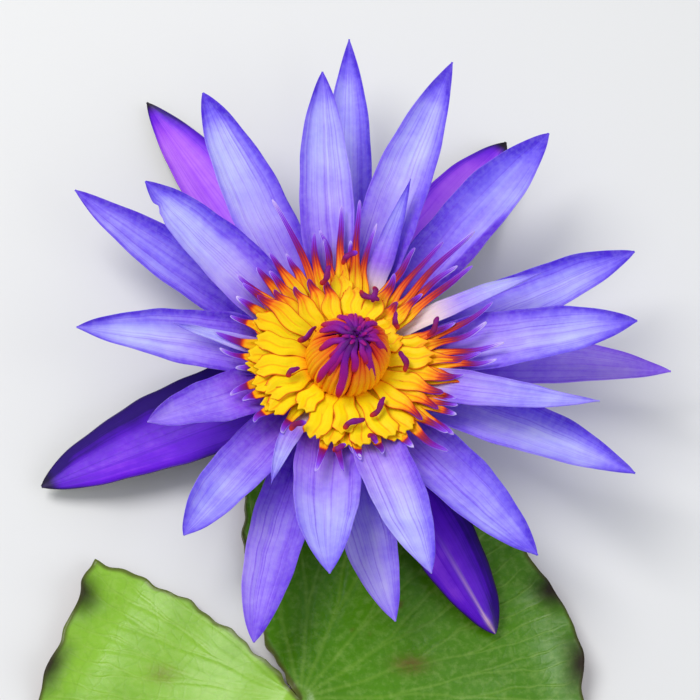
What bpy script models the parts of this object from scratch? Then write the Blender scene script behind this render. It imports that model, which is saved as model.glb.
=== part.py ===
"""Water lily: one open blue star lily flower, cut short, standing at the mouth of
the slit in its floating leaf (the pad).

The plant is laid out on a level surface. The flower axis is vertical. The pad lies
flat, its slit opening towards the flower, so that two of the four sepals hang just
over it. The flower is a spiral of narrow petals in four whorls over four sepals,
with a flat ring of stamens and a closed cone of inner stamens over the stigma.

Units are metres, +Z is up, and the flower faces up.
"""

import math

import bmesh
import bpy
from mathutils import Vector

MM = 0.001

# ------------------------------------------------------------------ pad
PAD_APEX = (-8.0, -69.0)      # where the petiole meets the blade, seen from the flower axis, mm
PAD_THICK = 1.2               # blade thickness, mm
PAD_DOME = 5.6                # height of the low dome over the petiole, mm
PAD_DOME_SPREAD = 13.0        # how fast the dome falls away, mm
PAD_LIFT = 1.5                # upturn of the margin, mm
PAD_EYE = 2.6                 # radius of the solid blade round the petiole joint, mm
SLIT_HEADING = 123.0          # direction the slit opens in, degrees
SLIT_FLARE = 0.40             # half-angle of the slit per mm of radius, degrees
SLIT_MIN = 3.0                # half-angle of the slit at its inner end, degrees
PAD_TEETH = 29                # shallow teeth round the margin
PAD_TOOTH = 0.7               # depth of a tooth, mm
# blade radius by heading from the petiole, clockwise from the right-hand lobe's tip
PAD_RADII = (
    (105, 46.0), (98, 53.0), (88, 56.5), (62, 57.5), (33, 55.5), (16, 56.0),
    (0, 55.5), (-30, 57.0), (-62, 58.5), (-95, 58.0), (-125, 56.5), (-152, 54.0),
    (-176, 51.5), (-196, 49.5), (-208, 49.0), (-217, 51.0),
)
PETIOLE_R = 2.9               # leaf stalk radius, mm
PETIOLE_TOP = 3.5             # top of the cut leaf stalk, mm

# ------------------------------------------------------------------ flower
STEM_R = 3.6                  # flower stalk radius, mm
STEM_TOP = 4.2                # top of the cut flower stalk, mm
# side of the receptacle from the stalk up, (radius, height), mm
RECEPTACLE = ((3.2, 4.5), (5.6, 5.1), (8.2, 6.5), (8.6, 7.6), (8.0, 9.2), (7.6, 10.6),
              (7.1, 12.2), (6.6, 13.4), (4.0, 13.8))
STIGMA = ((5.0, 14.1), (6.2, 14.5), (6.5, 15.0), (5.6, 15.3), (3.0, 14.9), (1.2, 15.1))
BLADE = 0.8                   # petal and sepal thickness, mm

# whorls, outermost first: radius and height of the petal foot, rise of the petal
# at its foot and at its tip (degrees above level)
WHORLS = {
    "calyx":  (9.2, 7.2, -4.0, -5.5),
    "lowest": (8.8, 8.6, 5.0, 9.0),
    "lower":  (8.4, 10.0, 12.0, 16.0),
    "upper":  (8.0, 11.4, 17.0, 22.0),
    "inner":  (7.6, 12.8, 19.0, 25.0),
}

# name: whorl, heading of the foot, length, width, sideways bend, extra rise at the
# tip, half-angle of the trough across the blade, place of the greatest width, and
# how far the foot sits above (or below) its whorl
BLADES = {
    "sepal_1": ("calyx", 121, 69, 13.0, 3, 0, 35, 0.50, 0),
    "sepal_2": ("calyx", 59, 56.5, 16.0, -2, 0, 35, 0.50, 0),
    "sepal_3": ("calyx", 198, 55.5, 17.0, 7, 0, 35, 0.40, 0),
    "sepal_4": ("calyx", 299, 53, 12.5, 0, 0, 35, 0.50, 0),
    "petal_01": ("lowest", 88, 64.5, 10.0, 2, 0, 35, 0.50, 0),
    "petal_07": ("lowest", 3, 57.5, 10.0, -14, 0, 35, 0.50, 0),
    "petal_12": ("lowest", 275, 48.5, 11.2, 13, 0, 35, 0.50, 0),
    "petal_14": ("lowest", 248, 54.5, 11.2, 15, 0, 35, 0.50, 0),
    "petal_18": ("lowest", 147, 58, 11.2, -3, 0, 35, 0.50, 0),
    "petal_04": ("lower", 49, 56, 12.0, -3, 0, 35, 0.50, -0.2),
    "petal_05": ("lower", 17, 55, 10.8, 3, 0, 35, 0.50, 0),
    "petal_09": ("lower", 337, 57, 10.0, -9, 0, 35, 0.50, -0.3),
    "petal_10": ("lower", 310, 52, 12.0, -1, 0, 35, 0.50, 0),
    "petal_15": ("lower", 229, 44.5, 10.8, 11, 4, 35, 0.50, 0),
    "petal_20": ("lower", 118, 56, 12.0, -2, 0, 35, 0.50, 0),
    "petal_02": ("upper", 97, 52.5, 10.8, -7, 0, 35, 0.50, 0.7),
    "petal_03": ("upper", 73.2, 58.5, 11.6, -9.4, 0, 35, 0.50, -0.25),
    "petal_06": ("upper", 3, 53, 12.0, -4, 0, 35, 0.50, -0.1),
    "petal_11": ("upper", 289, 49.5, 10.8, -2, 2, 35, 0.50, 1),
    "petal_13": ("upper", 262, 45, 13.2, 13, 0, 35, 0.50, -0.7),
    "petal_16": ("upper", 203, 37, 10.4, 9, 5, 35, 0.50, 0.3),
    "petal_17": ("upper", 174, 47, 12.0, 12, 0, 35, 0.50, -0.1),
    "petal_19": ("upper", 139, 46.5, 12.0, 2, 0, 35, 0.50, 0),
    "petal_08": ("inner", 338, 48.5, 7.2, 8, 0, 35, 0.50, 0),
    "petal_21": ("inner", 237, 28.5, 4.0, 24, 0, 20, 0.50, 0),
    "petal_22": ("inner", 68, 32.5, 5.2, 1, 0, 20, 0.50, 0),
    "petal_23": ("inner", 27, 37, 4.0, -22, 0, 20, 0.50, 0),
    "petal_24": ("inner", 174, 28, 3.4, 0, 0, 20, 0.50, 0),
}
FOOT_WIDTH = 0.30             # width of a blade at its foot, as a part of its full width
TIP_WIDTH = 0.04

# stamens, as the closed bodies they fill: cross-sections turned round their own axis,
# which stands a little off the middle of the petals
ANDROECIUM_AT = (0.5, -1.2)
OUTER_STAMENS = ((7.4, 14.3), (20.0, 18.6), (31.0, 23.5), (31.0, 24.2), (20.0, 19.8), (7.4, 15.6))
MIDDLE_STAMENS = ((8.2, 16.2), (20.0, 20.2), (25.0, 22.4), (24.6, 23.3), (19.0, 21.6), (9.0, 18.6))
INNER_STAMENS = ((5.4, 17.0), (7.2, 17.6), (7.8, 20.0), (7.4, 23.0), (5.8, 26.2), (3.4, 28.6), (1.2, 29.6))
CONE_LEAN = 11.0               # lean of the inner cone, degrees, towards +X


# ------------------------------------------------------------------ helpers
for old in list(bpy.data.objects):
    bpy.data.objects.remove(old, do_unlink=True)

lily = bpy.data.collections.new("water_lily")
bpy.context.scene.collection.children.link(lily)


def skin(name, colour, rough):
    """A plain Principled finish for one piece."""
    mat = bpy.data.materials.new(name + "_skin")
    mat.use_nodes = True
    surf = mat.node_tree.nodes["Principled BSDF"]
    surf.inputs["Base Color"].default_value = (*colour, 1.0)
    surf.inputs["Roughness"].default_value = rough
    surf.inputs["Metallic"].default_value = 0.0
    return mat


def piece(name, bm, colour, rough=0.5, smooth=True):
    """Turn a finished bmesh (in mm) into a named object in metres."""
    bmesh.ops.scale(bm, vec=(MM, MM, MM), verts=bm.verts)
    bmesh.ops.recalc_face_normals(bm, faces=bm.faces)
    mesh = bpy.data.meshes.new(name)
    bm.to_mesh(mesh)
    bm.free()
    mesh.shade_smooth() if smooth else mesh.shade_flat()
    obj = bpy.data.objects.new(name, mesh)
    obj.data.materials.append(skin(name, colour, rough))
    lily.objects.link(obj)
    return obj


def shell(obj, thickness):
    """Give a sheet its thickness, downwards from its upper face."""
    mod = obj.modifiers.new("thickness", "SOLIDIFY")
    mod.thickness = thickness * MM
    mod.offset = -1.0
    mod.use_even_offset = True
    mod.use_quality_normals = True
    return mod


def turned(name, profile, colour, rough=0.6, steps=28, closed=False):
    """A body turned round the vertical axis. An open profile runs from the bottom
    to the top and is closed to the axis; a closed one is a ring's cross-section."""
    bm = bmesh.new()
    pts = list(profile)
    if not closed:
        pts = [(0.0, pts[0][1])] + pts + [(0.0, pts[-1][1])]
    verts = [bm.verts.new((r, 0.0, z)) for r, z in pts]
    for a, b in zip(verts, verts[1:]):
        bm.edges.new((a, b))
    if closed:
        bm.edges.new((verts[-1], verts[0]))
    bmesh.ops.scale(bm, vec=(MM, MM, MM), verts=bm.verts)
    mesh = bpy.data.meshes.new(name)
    bm.to_mesh(mesh)
    bm.free()
    obj = bpy.data.objects.new(name, mesh)
    obj.data.materials.append(skin(name, colour, rough))
    lily.objects.link(obj)
    mod = obj.modifiers.new("turn", "SCREW")
    mod.axis = "Z"
    mod.angle = 2.0 * math.pi
    mod.steps = steps
    mod.render_steps = steps
    mod.use_merge_vertices = True
    mod.merge_threshold = 0.00001
    mod.use_normal_calculate = False
    mod.use_normal_flip = True
    mod.use_smooth_shade = True
    return obj


# ------------------------------------------------------------------ petals and sepals
def half_width(s, width, widest):
    """Half the blade's width at s, from 0 at its foot to 1 at its tip."""
    if s < widest:
        k = FOOT_WIDTH + (1.0 - FOOT_WIDTH) * math.sin(0.5 * math.pi * s / widest)
    else:
        x = (s - widest) / (1.0 - widest)
        k = max(1.0 - x ** 2.2, 0.0) ** 0.85
    return 0.5 * width * max(k, TIP_WIDTH)


def spine(spec, steps):
    """Points and local frames down the middle of a blade, foot to tip."""
    whorl, heading, length, _w, bend, lift, _c, _p, step = spec
    foot_r, foot_z, rise0, rise1 = WHORLS[whorl]
    rise1 += lift
    a = math.radians(heading)
    at = Vector((foot_r * math.cos(a), foot_r * math.sin(a), foot_z + step))
    out = []
    for i in range(steps + 1):
        s = i / steps
        if i:
            m = (i - 0.5) / steps
            th = math.radians(rise0 + (rise1 - rise0) * m ** 1.2)
            ps = math.radians(heading + bend * m)
            at = at + (length / steps) * Vector(
                (math.cos(th) * math.cos(ps), math.cos(th) * math.sin(ps), math.sin(th)))
        th = math.radians(rise0 + (rise1 - rise0) * s ** 1.2)
        ps = math.radians(heading + bend * s)
        side = Vector((-math.sin(ps), math.cos(ps), 0.0))
        up = Vector((-math.sin(th) * math.cos(ps), -math.sin(th) * math.sin(ps), math.cos(th)))
        out.append((s, at.copy(), side, up))
    return out


def blade(name, spec, colour, rough=0.5, along=10, across=4):
    """A lance-shaped blade, troughed across its width."""
    bm = bmesh.new()
    bmesh.ops.create_grid(bm, x_segments=along, y_segments=across, size=0.5)
    line = spine(spec, along)
    trough = math.radians(spec[6])
    for v in bm.verts:
        i = round((v.co.x + 0.5) * along)
        t = 2.0 * v.co.y
        s, at, side, up = line[i]
        hw = half_width(s, spec[3], spec[7])
        radius = hw / trough
        v.co = at + side * (radius * math.sin(t * trough)) + up * (radius * (1.0 - math.cos(t * trough)))
    bmesh.ops.scale(bm, vec=(MM, MM, MM), verts=bm.verts)
    mesh = bpy.data.meshes.new(name)
    bm.to_mesh(mesh)
    bm.free()
    mesh.shade_smooth()
    obj = bpy.data.objects.new(name, mesh)
    obj.data.materials.append(skin(name, colour, rough))
    lily.objects.link(obj)
    shell(obj, BLADE)
    return obj


VIOLET = (0.16, 0.06, 0.62)
BLUE = (0.34, 0.27, 0.86)
MAUVE = (0.30, 0.07, 0.55)
for name, spec in BLADES.items():
    if spec[0] == "calyx":
        blade(name, spec, MAUVE)
    elif spec[0] == "lowest":
        blade(name, spec, VIOLET)
    else:
        blade(name, spec, BLUE)

# ------------------------------------------------------------------ stalk, receptacle, stigma, stamens
turned("flower_stem", ((STEM_R * 0.94, 0.0), (STEM_R, 1.0), (STEM_R, STEM_TOP - 0.8), (STEM_R * 0.94, STEM_TOP)),
       (0.16, 0.20, 0.05), 0.5, steps=24)
turned("receptacle", RECEPTACLE, (0.28, 0.26, 0.08), 0.6)
heart = [
    turned("stigma_disc", STIGMA, (0.75, 0.55, 0.10), 0.6),
    turned("stamens_outer", OUTER_STAMENS, (0.80, 0.52, 0.05), 0.6, steps=26, closed=True),
    turned("stamens_middle", MIDDLE_STAMENS, (0.80, 0.56, 0.05), 0.6, steps=26, closed=True),
    turned("stamens_inner", INNER_STAMENS, (0.62, 0.22, 0.22), 0.6, steps=24),
]
for obj in heart:
    obj.location = (ANDROECIUM_AT[0] * MM, ANDROECIUM_AT[1] * MM, 0.0)
# the cone leans about its own foot, not about the ground under it
cone = heart[-1]
cone.rotation_euler = (0.0, math.radians(CONE_LEAN), 0.0)
foot = Vector((0.0, 0.0, INNER_STAMENS[0][1] * MM))
leaned = foot.copy()
leaned.rotate(cone.rotation_euler)
cone.location = cone.location + foot - leaned


# ------------------------------------------------------------------ pad
def pad_radius(heading):
    """Blade radius at a heading, eased between the stations of PAD_RADII."""
    for (h0, r0), (h1, r1) in zip(PAD_RADII, PAD_RADII[1:]):
        if h1 <= heading <= h0:
            f = (h0 - heading) / (h0 - h1)
            f = f * f * (3.0 - 2.0 * f)
            return r0 + (r1 - r0) * f
    return PAD_RADII[0][1] if heading > PAD_RADII[0][0] else PAD_RADII[-1][1]


def slit(radius):
    return max(SLIT_MIN, SLIT_FLARE * radius)


def pad_height(radius, reach, heading):
    """Upper face of the blade: a low dome over the stalk, level in the middle
    ground, and an uneven upturned margin."""
    dome = PAD_DOME * math.exp(-((radius / PAD_DOME_SPREAD) ** 2))
    if radius > 26.0:
        dome = 0.0
    edge = max(0.0, (radius / reach - 0.85) / 0.15)
    wave = 0.5 + 0.5 * math.sin(math.radians(heading) * 5.0 + 0.6)
    return PAD_THICK + dome + PAD_LIFT * wave * edge * edge


AROUND, OUTWARD = 58, 6
bm = bmesh.new()
bmesh.ops.create_grid(bm, x_segments=AROUND, y_segments=OUTWARD, size=0.5)
for v in bm.verts:
    t = v.co.x + 0.5                       # 0 at the right lobe's slit edge, 1 at the left one's
    k = v.co.y + 0.5                       # 0 at the petiole, 1 at the margin
    start = SLIT_HEADING - 22.0
    turn = 360.0 - 44.0
    reach = pad_radius(start + 3.0 - t * (turn + 6.0))
    if 0.0 < t < 1.0:
        tooth = PAD_TOOTH * (0.5 + 0.5 * math.cos(2.0 * math.pi * PAD_TEETH * t))
        reach -= tooth
    r = PAD_EYE + (reach - PAD_EYE) * k
    half = slit(r)
    heading = SLIT_HEADING - half - t * (360.0 - 2.0 * half)
    a = math.radians(heading)
    v.co = Vector((PAD_APEX[0] + r * math.cos(a), PAD_APEX[1] + r * math.sin(a),
                   pad_height(r, reach, heading)))
# the blade's eye, over the stalk: fill the ring's open middle
inner = [v for v in bm.verts
         if abs(math.hypot(v.co.x - PAD_APEX[0], v.co.y - PAD_APEX[1]) - PAD_EYE) < 0.01]
inner.sort(key=lambda v: (SLIT_HEADING - math.degrees(
    math.atan2(v.co.y - PAD_APEX[1], v.co.x - PAD_APEX[0]))) % 360.0)
eye = bm.verts.new((PAD_APEX[0], PAD_APEX[1], pad_height(0.0, 50.0, 0.0)))
for p, q in zip(inner, inner[1:]):
    bm.faces.new((eye, p, q))
bmesh.ops.scale(bm, vec=(MM, MM, MM), verts=bm.verts)
bmesh.ops.recalc_face_normals(bm, faces=bm.faces)
if sum(f.normal.z for f in bm.faces) < 0.0:
    bmesh.ops.reverse_faces(bm, faces=bm.faces)
mesh = bpy.data.meshes.new("pad_blade")
bm.to_mesh(mesh)
bm.free()
mesh.shade_smooth()
pad = bpy.data.objects.new("pad_blade", mesh)
pad.data.materials.append(skin("pad_blade", (0.14, 0.33, 0.04), 0.4))
lily.objects.link(pad)
mod = shell(pad, PAD_THICK)
mod.use_even_offset = False
mod.use_quality_normals = False

stalk = turned("pad_petiole", ((PETIOLE_R * 0.94, 0.0), (PETIOLE_R, 0.8), (PETIOLE_R, PETIOLE_TOP)),
               (0.20, 0.16, 0.06), 0.5, steps=20)
stalk.location = (PAD_APEX[0] * MM, PAD_APEX[1] * MM, 0.0)

# ------------------------------------------------------------------ set the plant on its origin
# the origin is the middle of the plant's footprint, on the surface it stands on
bpy.context.view_layer.update()
graph = bpy.context.evaluated_depsgraph_get()
low = Vector((1e9, 1e9, 1e9))
high = -low
for obj in lily.objects:
    ev = obj.evaluated_get(graph)
    me = ev.to_mesh()
    for v in me.vertices:
        p = ev.matrix_world @ v.co
        low = Vector(map(min, low, p))
        high = Vector(map(max, high, p))
    ev.to_mesh_clear()
shift = Vector((-(low.x + high.x) / 2.0, -(low.y + high.y) / 2.0, -low.z))
for obj in lily.objects:
    obj.location = obj.location + shift
bpy.context.view_layer.update()
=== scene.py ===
import math
import random

import bpy
import numpy as np
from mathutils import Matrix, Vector, noise


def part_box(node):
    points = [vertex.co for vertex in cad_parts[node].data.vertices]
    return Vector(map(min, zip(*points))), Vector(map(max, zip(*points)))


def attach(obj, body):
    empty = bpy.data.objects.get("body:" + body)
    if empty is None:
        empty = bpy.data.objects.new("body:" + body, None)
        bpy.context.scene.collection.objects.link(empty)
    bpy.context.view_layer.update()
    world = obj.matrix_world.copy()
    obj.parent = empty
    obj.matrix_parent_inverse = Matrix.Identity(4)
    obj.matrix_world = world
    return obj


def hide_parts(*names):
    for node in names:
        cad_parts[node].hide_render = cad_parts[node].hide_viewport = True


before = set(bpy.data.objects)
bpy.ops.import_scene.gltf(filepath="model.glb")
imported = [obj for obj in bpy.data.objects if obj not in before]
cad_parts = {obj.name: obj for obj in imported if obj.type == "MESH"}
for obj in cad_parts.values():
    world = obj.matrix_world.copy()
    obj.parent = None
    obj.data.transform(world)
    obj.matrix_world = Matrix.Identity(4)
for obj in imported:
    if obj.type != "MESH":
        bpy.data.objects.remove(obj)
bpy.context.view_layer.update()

# Everything is worked out in millimetres from the flower's axis (or the pad's
# petiole) and placed where the CAD says those stand.
MM = 0.001
lo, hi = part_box("flower_stem")
AXIS = np.array([(lo.x + hi.x) / 2, (lo.y + hi.y) / 2, 0.0]) / MM
lo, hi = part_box("pad_petiole")
APEX = np.array([(lo.x + hi.x) / 2, (lo.y + hi.y) / 2, 0.0]) / MM
HEART = np.array([0.5, -1.2, 0.0])      # axis of the stamens, from the flower's axis


def smooth(a, b, x):
    x = np.clip((np.asarray(x, float) - a) / (b - a), 0.0, 1.0)
    return x * x * (3.0 - 2.0 * x)


def bell(x, at, width):
    return np.exp(-(((np.asarray(x, float) - at) / width) ** 2))


# ------------------------------------------------------------------ mesh building
class Pile:
    """Closed bodies gathered into one mesh, with their point attributes."""

    def __init__(self):
        self.co, self.faces, self.at, self.count = [], [], {}, 0

    def add(self, co, faces, **attrs):
        co = np.asarray(co, float).reshape(-1, 3)
        n = len(co)
        self.faces.extend([tuple(i + self.count for i in f) for f in faces])
        self.co.append(co)
        for k in set(self.at) | set(attrs):
            got = attrs.get(k, 0.0)
            arr = np.full(n, float(got)) if np.isscalar(got) else np.asarray(got, float).reshape(-1)
            if k not in self.at:
                self.at[k] = [np.zeros(self.count)] if self.count else []
            self.at[k].append(arr)
        self.count += n

    def sheet(self, top, bottom, **attrs):
        """A leaf of two skins, rows along and columns across, joined round its rim."""
        n, m = top.shape[:2]
        idx = np.arange(n * m).reshape(n, m)
        low = idx + n * m
        f = []
        for i in range(n - 1):
            for j in range(m - 1):
                f.append((idx[i, j], idx[i + 1, j], idx[i + 1, j + 1], idx[i, j + 1]))
                f.append((low[i, j], low[i, j + 1], low[i + 1, j + 1], low[i + 1, j]))
        for i in range(n - 1):
            f.append((idx[i, 0], low[i, 0], low[i + 1, 0], idx[i + 1, 0]))
            f.append((idx[i, m - 1], idx[i + 1, m - 1], low[i + 1, m - 1], low[i, m - 1]))
        for j in range(m - 1):
            f.append((idx[0, j], idx[0, j + 1], low[0, j + 1], low[0, j]))
            f.append((idx[n - 1, j], low[n - 1, j], low[n - 1, j + 1], idx[n - 1, j + 1]))
        both = {k: np.concatenate([np.broadcast_to(np.asarray(v[0] if isinstance(v, tuple) else v, float), (n, m)).reshape(-1),
                                   np.broadcast_to(np.asarray(v[1] if isinstance(v, tuple) else v, float), (n, m)).reshape(-1)])
                for k, v in attrs.items()}
        self.add(np.concatenate([top.reshape(-1, 3), bottom.reshape(-1, 3)]), f, **both)

    def tube(self, path, side, up, a, b, rings=8, **attrs):
        """A closed rod of elliptical section along a path."""
        n = len(path)
        ph = np.linspace(0, 2 * math.pi, rings, endpoint=False)
        ring = (path[:, None, :] + side[:, None, :] * (a[:, None] * np.cos(ph))[:, :, None]
                + up[:, None, :] * (b[:, None] * np.sin(ph))[:, :, None])
        co = np.concatenate([ring.reshape(-1, 3), path[:1], path[-1:]])
        f = []
        for i in range(n - 1):
            for j in range(rings):
                k = (j + 1) % rings
                f.append((i * rings + j, i * rings + k, (i + 1) * rings + k, (i + 1) * rings + j))
        for j in range(rings):
            k = (j + 1) % rings
            f.append((n * rings, k, j))
            f.append((n * rings + 1, (n - 1) * rings + j, (n - 1) * rings + k))
        full = {}
        for key, v in attrs.items():
            if np.isscalar(v):
                full[key] = v
            else:
                v = np.asarray(v, float)
                full[key] = np.concatenate([np.repeat(v, rings), v[:1], v[-1:]])
        self.add(co, f, **full)

    def make(self, name, mat, node_slot, *nodes, offset=AXIS):
        co = np.concatenate(self.co) + offset
        mesh = bpy.data.meshes.new(name)
        mesh.from_pydata((co * MM).tolist(), [], self.faces)
        for k, parts in self.at.items():
            a = mesh.attributes.new(k, "FLOAT", "POINT")
            a.data.foreach_set("value", np.concatenate(parts).astype(np.float32))
        mesh.update()
        mesh.shade_smooth()
        obj = bpy.data.objects.new(name, mesh)
        obj.data.materials.append(mat)
        bpy.context.scene.collection.objects.link(obj)
        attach(obj, "root")
        if nodes:
            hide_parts(*nodes)
        return obj


# ------------------------------------------------------------------ node helpers
class Nodes:
    def __init__(self, name):
        self.mat = bpy.data.materials.new(name)
        self.mat.use_nodes = True
        self.t = self.mat.node_tree
        self.surf = self.t.nodes["Principled BSDF"]

    def new(self, kind, **props):
        n = self.t.nodes.new(kind)
        for k, v in props.items():
            setattr(n, k, v)
        return n

    def put(self, socket, value):
        if isinstance(value, bpy.types.NodeSocket):
            self.t.links.new(value, socket)
        elif value is not None:
            socket.default_value = value

    def attr(self, name):
        n = self.new("ShaderNodeAttribute")
        n.attribute_name = name
        return n.outputs["Fac"]

    def math(self, op, a, b=None, c=None, clamp=False):
        n = self.new("ShaderNodeMath", operation=op, use_clamp=clamp)
        self.put(n.inputs[0], a)
        self.put(n.inputs[1], b)
        self.put(n.inputs[2], c)
        return n.outputs[0]

    def span(self, x, a, b, c=0.0, d=1.0, soft=True):
        n = self.new("ShaderNodeMapRange", interpolation_type="SMOOTHSTEP" if soft else "LINEAR", clamp=True)
        for s, v in zip(n.inputs[:5], (x, a, b, c, d)):
            self.put(s, v)
        return n.outputs[0]

    def xyz(self, x, y, z):
        n = self.new("ShaderNodeCombineXYZ")
        for s, v in zip(n.inputs, (x, y, z)):
            self.put(s, v)
        return n.outputs[0]

    def noise(self, vec, scale, detail=2.0, rough=0.5, distort=0.0):
        n = self.new("ShaderNodeTexNoise")
        self.put(n.inputs["Vector"], vec)
        n.inputs["Scale"].default_value = scale
        n.inputs["Detail"].default_value = detail
        n.inputs["Roughness"].default_value = rough
        n.inputs["Distortion"].default_value = distort
        return n.outputs["Fac"]

    def place(self):
        return self.new("ShaderNodeTexCoord").outputs["Object"]

    def mix(self, fac, a, b, kind="MIX"):
        n = self.new("ShaderNodeMix", data_type="RGBA", blend_type=kind, clamp_factor=True)
        self.put(n.inputs[0], fac)
        self.put(n.inputs[6], (*a, 1.0) if isinstance(a, tuple) and len(a) == 3 else a)
        self.put(n.inputs[7], (*b, 1.0) if isinstance(b, tuple) and len(b) == 3 else b)
        return n.outputs[2]

    def ramp(self, x, stops):
        n = self.new("ShaderNodeValToRGB")
        r = n.color_ramp
        while len(r.elements) > 1:
            r.elements.remove(r.elements[-1])
        r.elements[0].position, r.elements[0].color = stops[0][0], (*stops[0][1], 1.0)
        for p, c in stops[1:]:
            e = r.elements.new(p)
            e.color = (*c, 1.0)
        self.put(n.inputs[0], x)
        return n.outputs[0]

    def finish(self, colour, rough, height, bump=0.3, depth=0.0002, spec=0.4, sss=0.0, radius=(1.0, 0.6, 0.5),
               sss_scale=0.001, sheen=0.0, coat=0.0, coat_rough=0.2):
        s = self.surf
        self.put(s.inputs["Base Color"], colour)
        self.put(s.inputs["Roughness"], rough)
        s.inputs["Specular IOR Level"].default_value = spec
        s.inputs["Subsurface Weight"].default_value = sss
        s.inputs["Subsurface Radius"].default_value = radius
        s.inputs["Subsurface Scale"].default_value = sss_scale
        s.inputs["Sheen Weight"].default_value = sheen
        s.inputs["Sheen Roughness"].default_value = 0.5
        s.inputs["Coat Weight"].default_value = coat
        s.inputs["Coat Roughness"].default_value = coat_rough
        if height is not None:
            b = self.new("ShaderNodeBump")
            b.inputs["Strength"].default_value = bump
            b.inputs["Distance"].default_value = depth
            self.put(b.inputs["Height"], height)
            self.put(s.inputs["Normal"], b.outputs[0])
        return self.mat


def rgb(r, g, b):
    """A colour named by its display values, as scene-linear."""
    return tuple((v / 255 / 12.92) if v <= 10 else ((v / 255 + 0.055) / 1.055) ** 2.4 for v in (r, g, b))


# ------------------------------------------------------------------ materials
def petal_material():
    n = Nodes("petal_flesh")
    s, t, deep, pink, seed = (n.attr(k) for k in ("along", "across", "deep", "pink", "seed"))
    under = n.attr("under")
    cell = n.noise(n.place(), 900.0, 3.0, 0.6)
    cloud = n.noise(n.place(), 170.0, 3.0, 0.55)
    # nerves run the length of the petal and draw together at its tip
    wob = n.math("MULTIPLY", n.math("SUBTRACT", n.noise(n.xyz(n.math("MULTIPLY", s, 2.2), seed, 0.0), 3.0, 1.0), 0.5), 0.12)
    tt = n.math("ADD", t, wob)
    fine = n.noise(n.xyz(n.math("MULTIPLY", tt, 13.0), n.math("MULTIPLY", s, 1.1), seed), 1.0, 4.0, 0.65)
    broad = n.noise(n.xyz(n.math("MULTIPLY", tt, 4.2), n.math("MULTIPLY", s, 0.9), n.math("ADD", seed, 9.0)), 1.0, 2.0, 0.5)
    saw = n.math("ABSOLUTE", n.math("SUBTRACT", n.math("FRACT", n.math("ADD", n.math("MULTIPLY", tt, 5.5), 0.5)), 0.5))
    nerve = n.span(saw, 0.0, 0.14, 1.0, 0.0)
    nerve = n.math("MULTIPLY", nerve, n.span(fine, 0.42, 0.62))
    lines = n.span(fine, 0.50, 0.66)
    # ground colour: pale lavender to violet blue
    d = n.math("ADD", deep, n.math("MULTIPLY", n.math("SUBTRACT", broad, 0.5), 0.42))
    d = n.math("ADD", d, n.math("MULTIPLY", n.math("SUBTRACT", cloud, 0.5), 0.52))
    d = n.math("ADD", d, n.math("MULTIPLY", lines, 0.16), clamp=True)
    base = n.ramp(d, [(0.0, rgb(194, 198, 254)), (0.25, rgb(166, 162, 252)), (0.5, rgb(130, 112, 247)),
                      (0.75, rgb(100, 72, 238)), (1.0, rgb(70, 30, 214))])
    # purple wash towards the foot
    pk = n.math("ADD", pink, n.math("MULTIPLY", n.math("SUBTRACT", fine, 0.5), 0.5), clamp=True)
    flush = n.ramp(d, [(0.0, rgb(188, 132, 247)), (0.4, rgb(148, 74, 240)), (1.0, rgb(92, 10, 200))])
    col = n.mix(pk, base, flush)
    col = n.mix(n.math("MULTIPLY", nerve, 0.34), col, rgb(112, 48, 218))
    col = n.mix(n.span(cell, 0.35, 0.7, 0.0, 0.10), col, rgb(222, 218, 255))
    col = n.mix(n.attr("white"), col, rgb(248, 226, 214))
    # the back of the petal is a little greyer and greener along its middle
    back = n.mix(n.span(n.math("ABSOLUTE", t), 0.0, 0.6, 0.5, 0.0), n.mix(0.25, col, rgb(190, 180, 240)), rgb(168, 176, 176))
    col = n.mix(under, col, back)
    col = n.mix(n.attr("dark"), col, rgb(24, 2, 60))
    rough = n.math("ADD", n.span(cell, 0.2, 0.8, 0.42, 0.62), n.math("MULTIPLY", nerve, 0.08))
    h = n.math("SUBTRACT", n.math("ADD", n.math("MULTIPLY", fine, 0.8), n.math("MULTIPLY", cell, 0.35)),
               n.math("MULTIPLY", nerve, 0.5))
    return n.finish(col, rough, h, bump=0.35, depth=0.00022, spec=0.35, sss=0.18, radius=(0.8, 0.5, 1.0),
                    sss_scale=0.0012, sheen=0.12)


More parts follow.
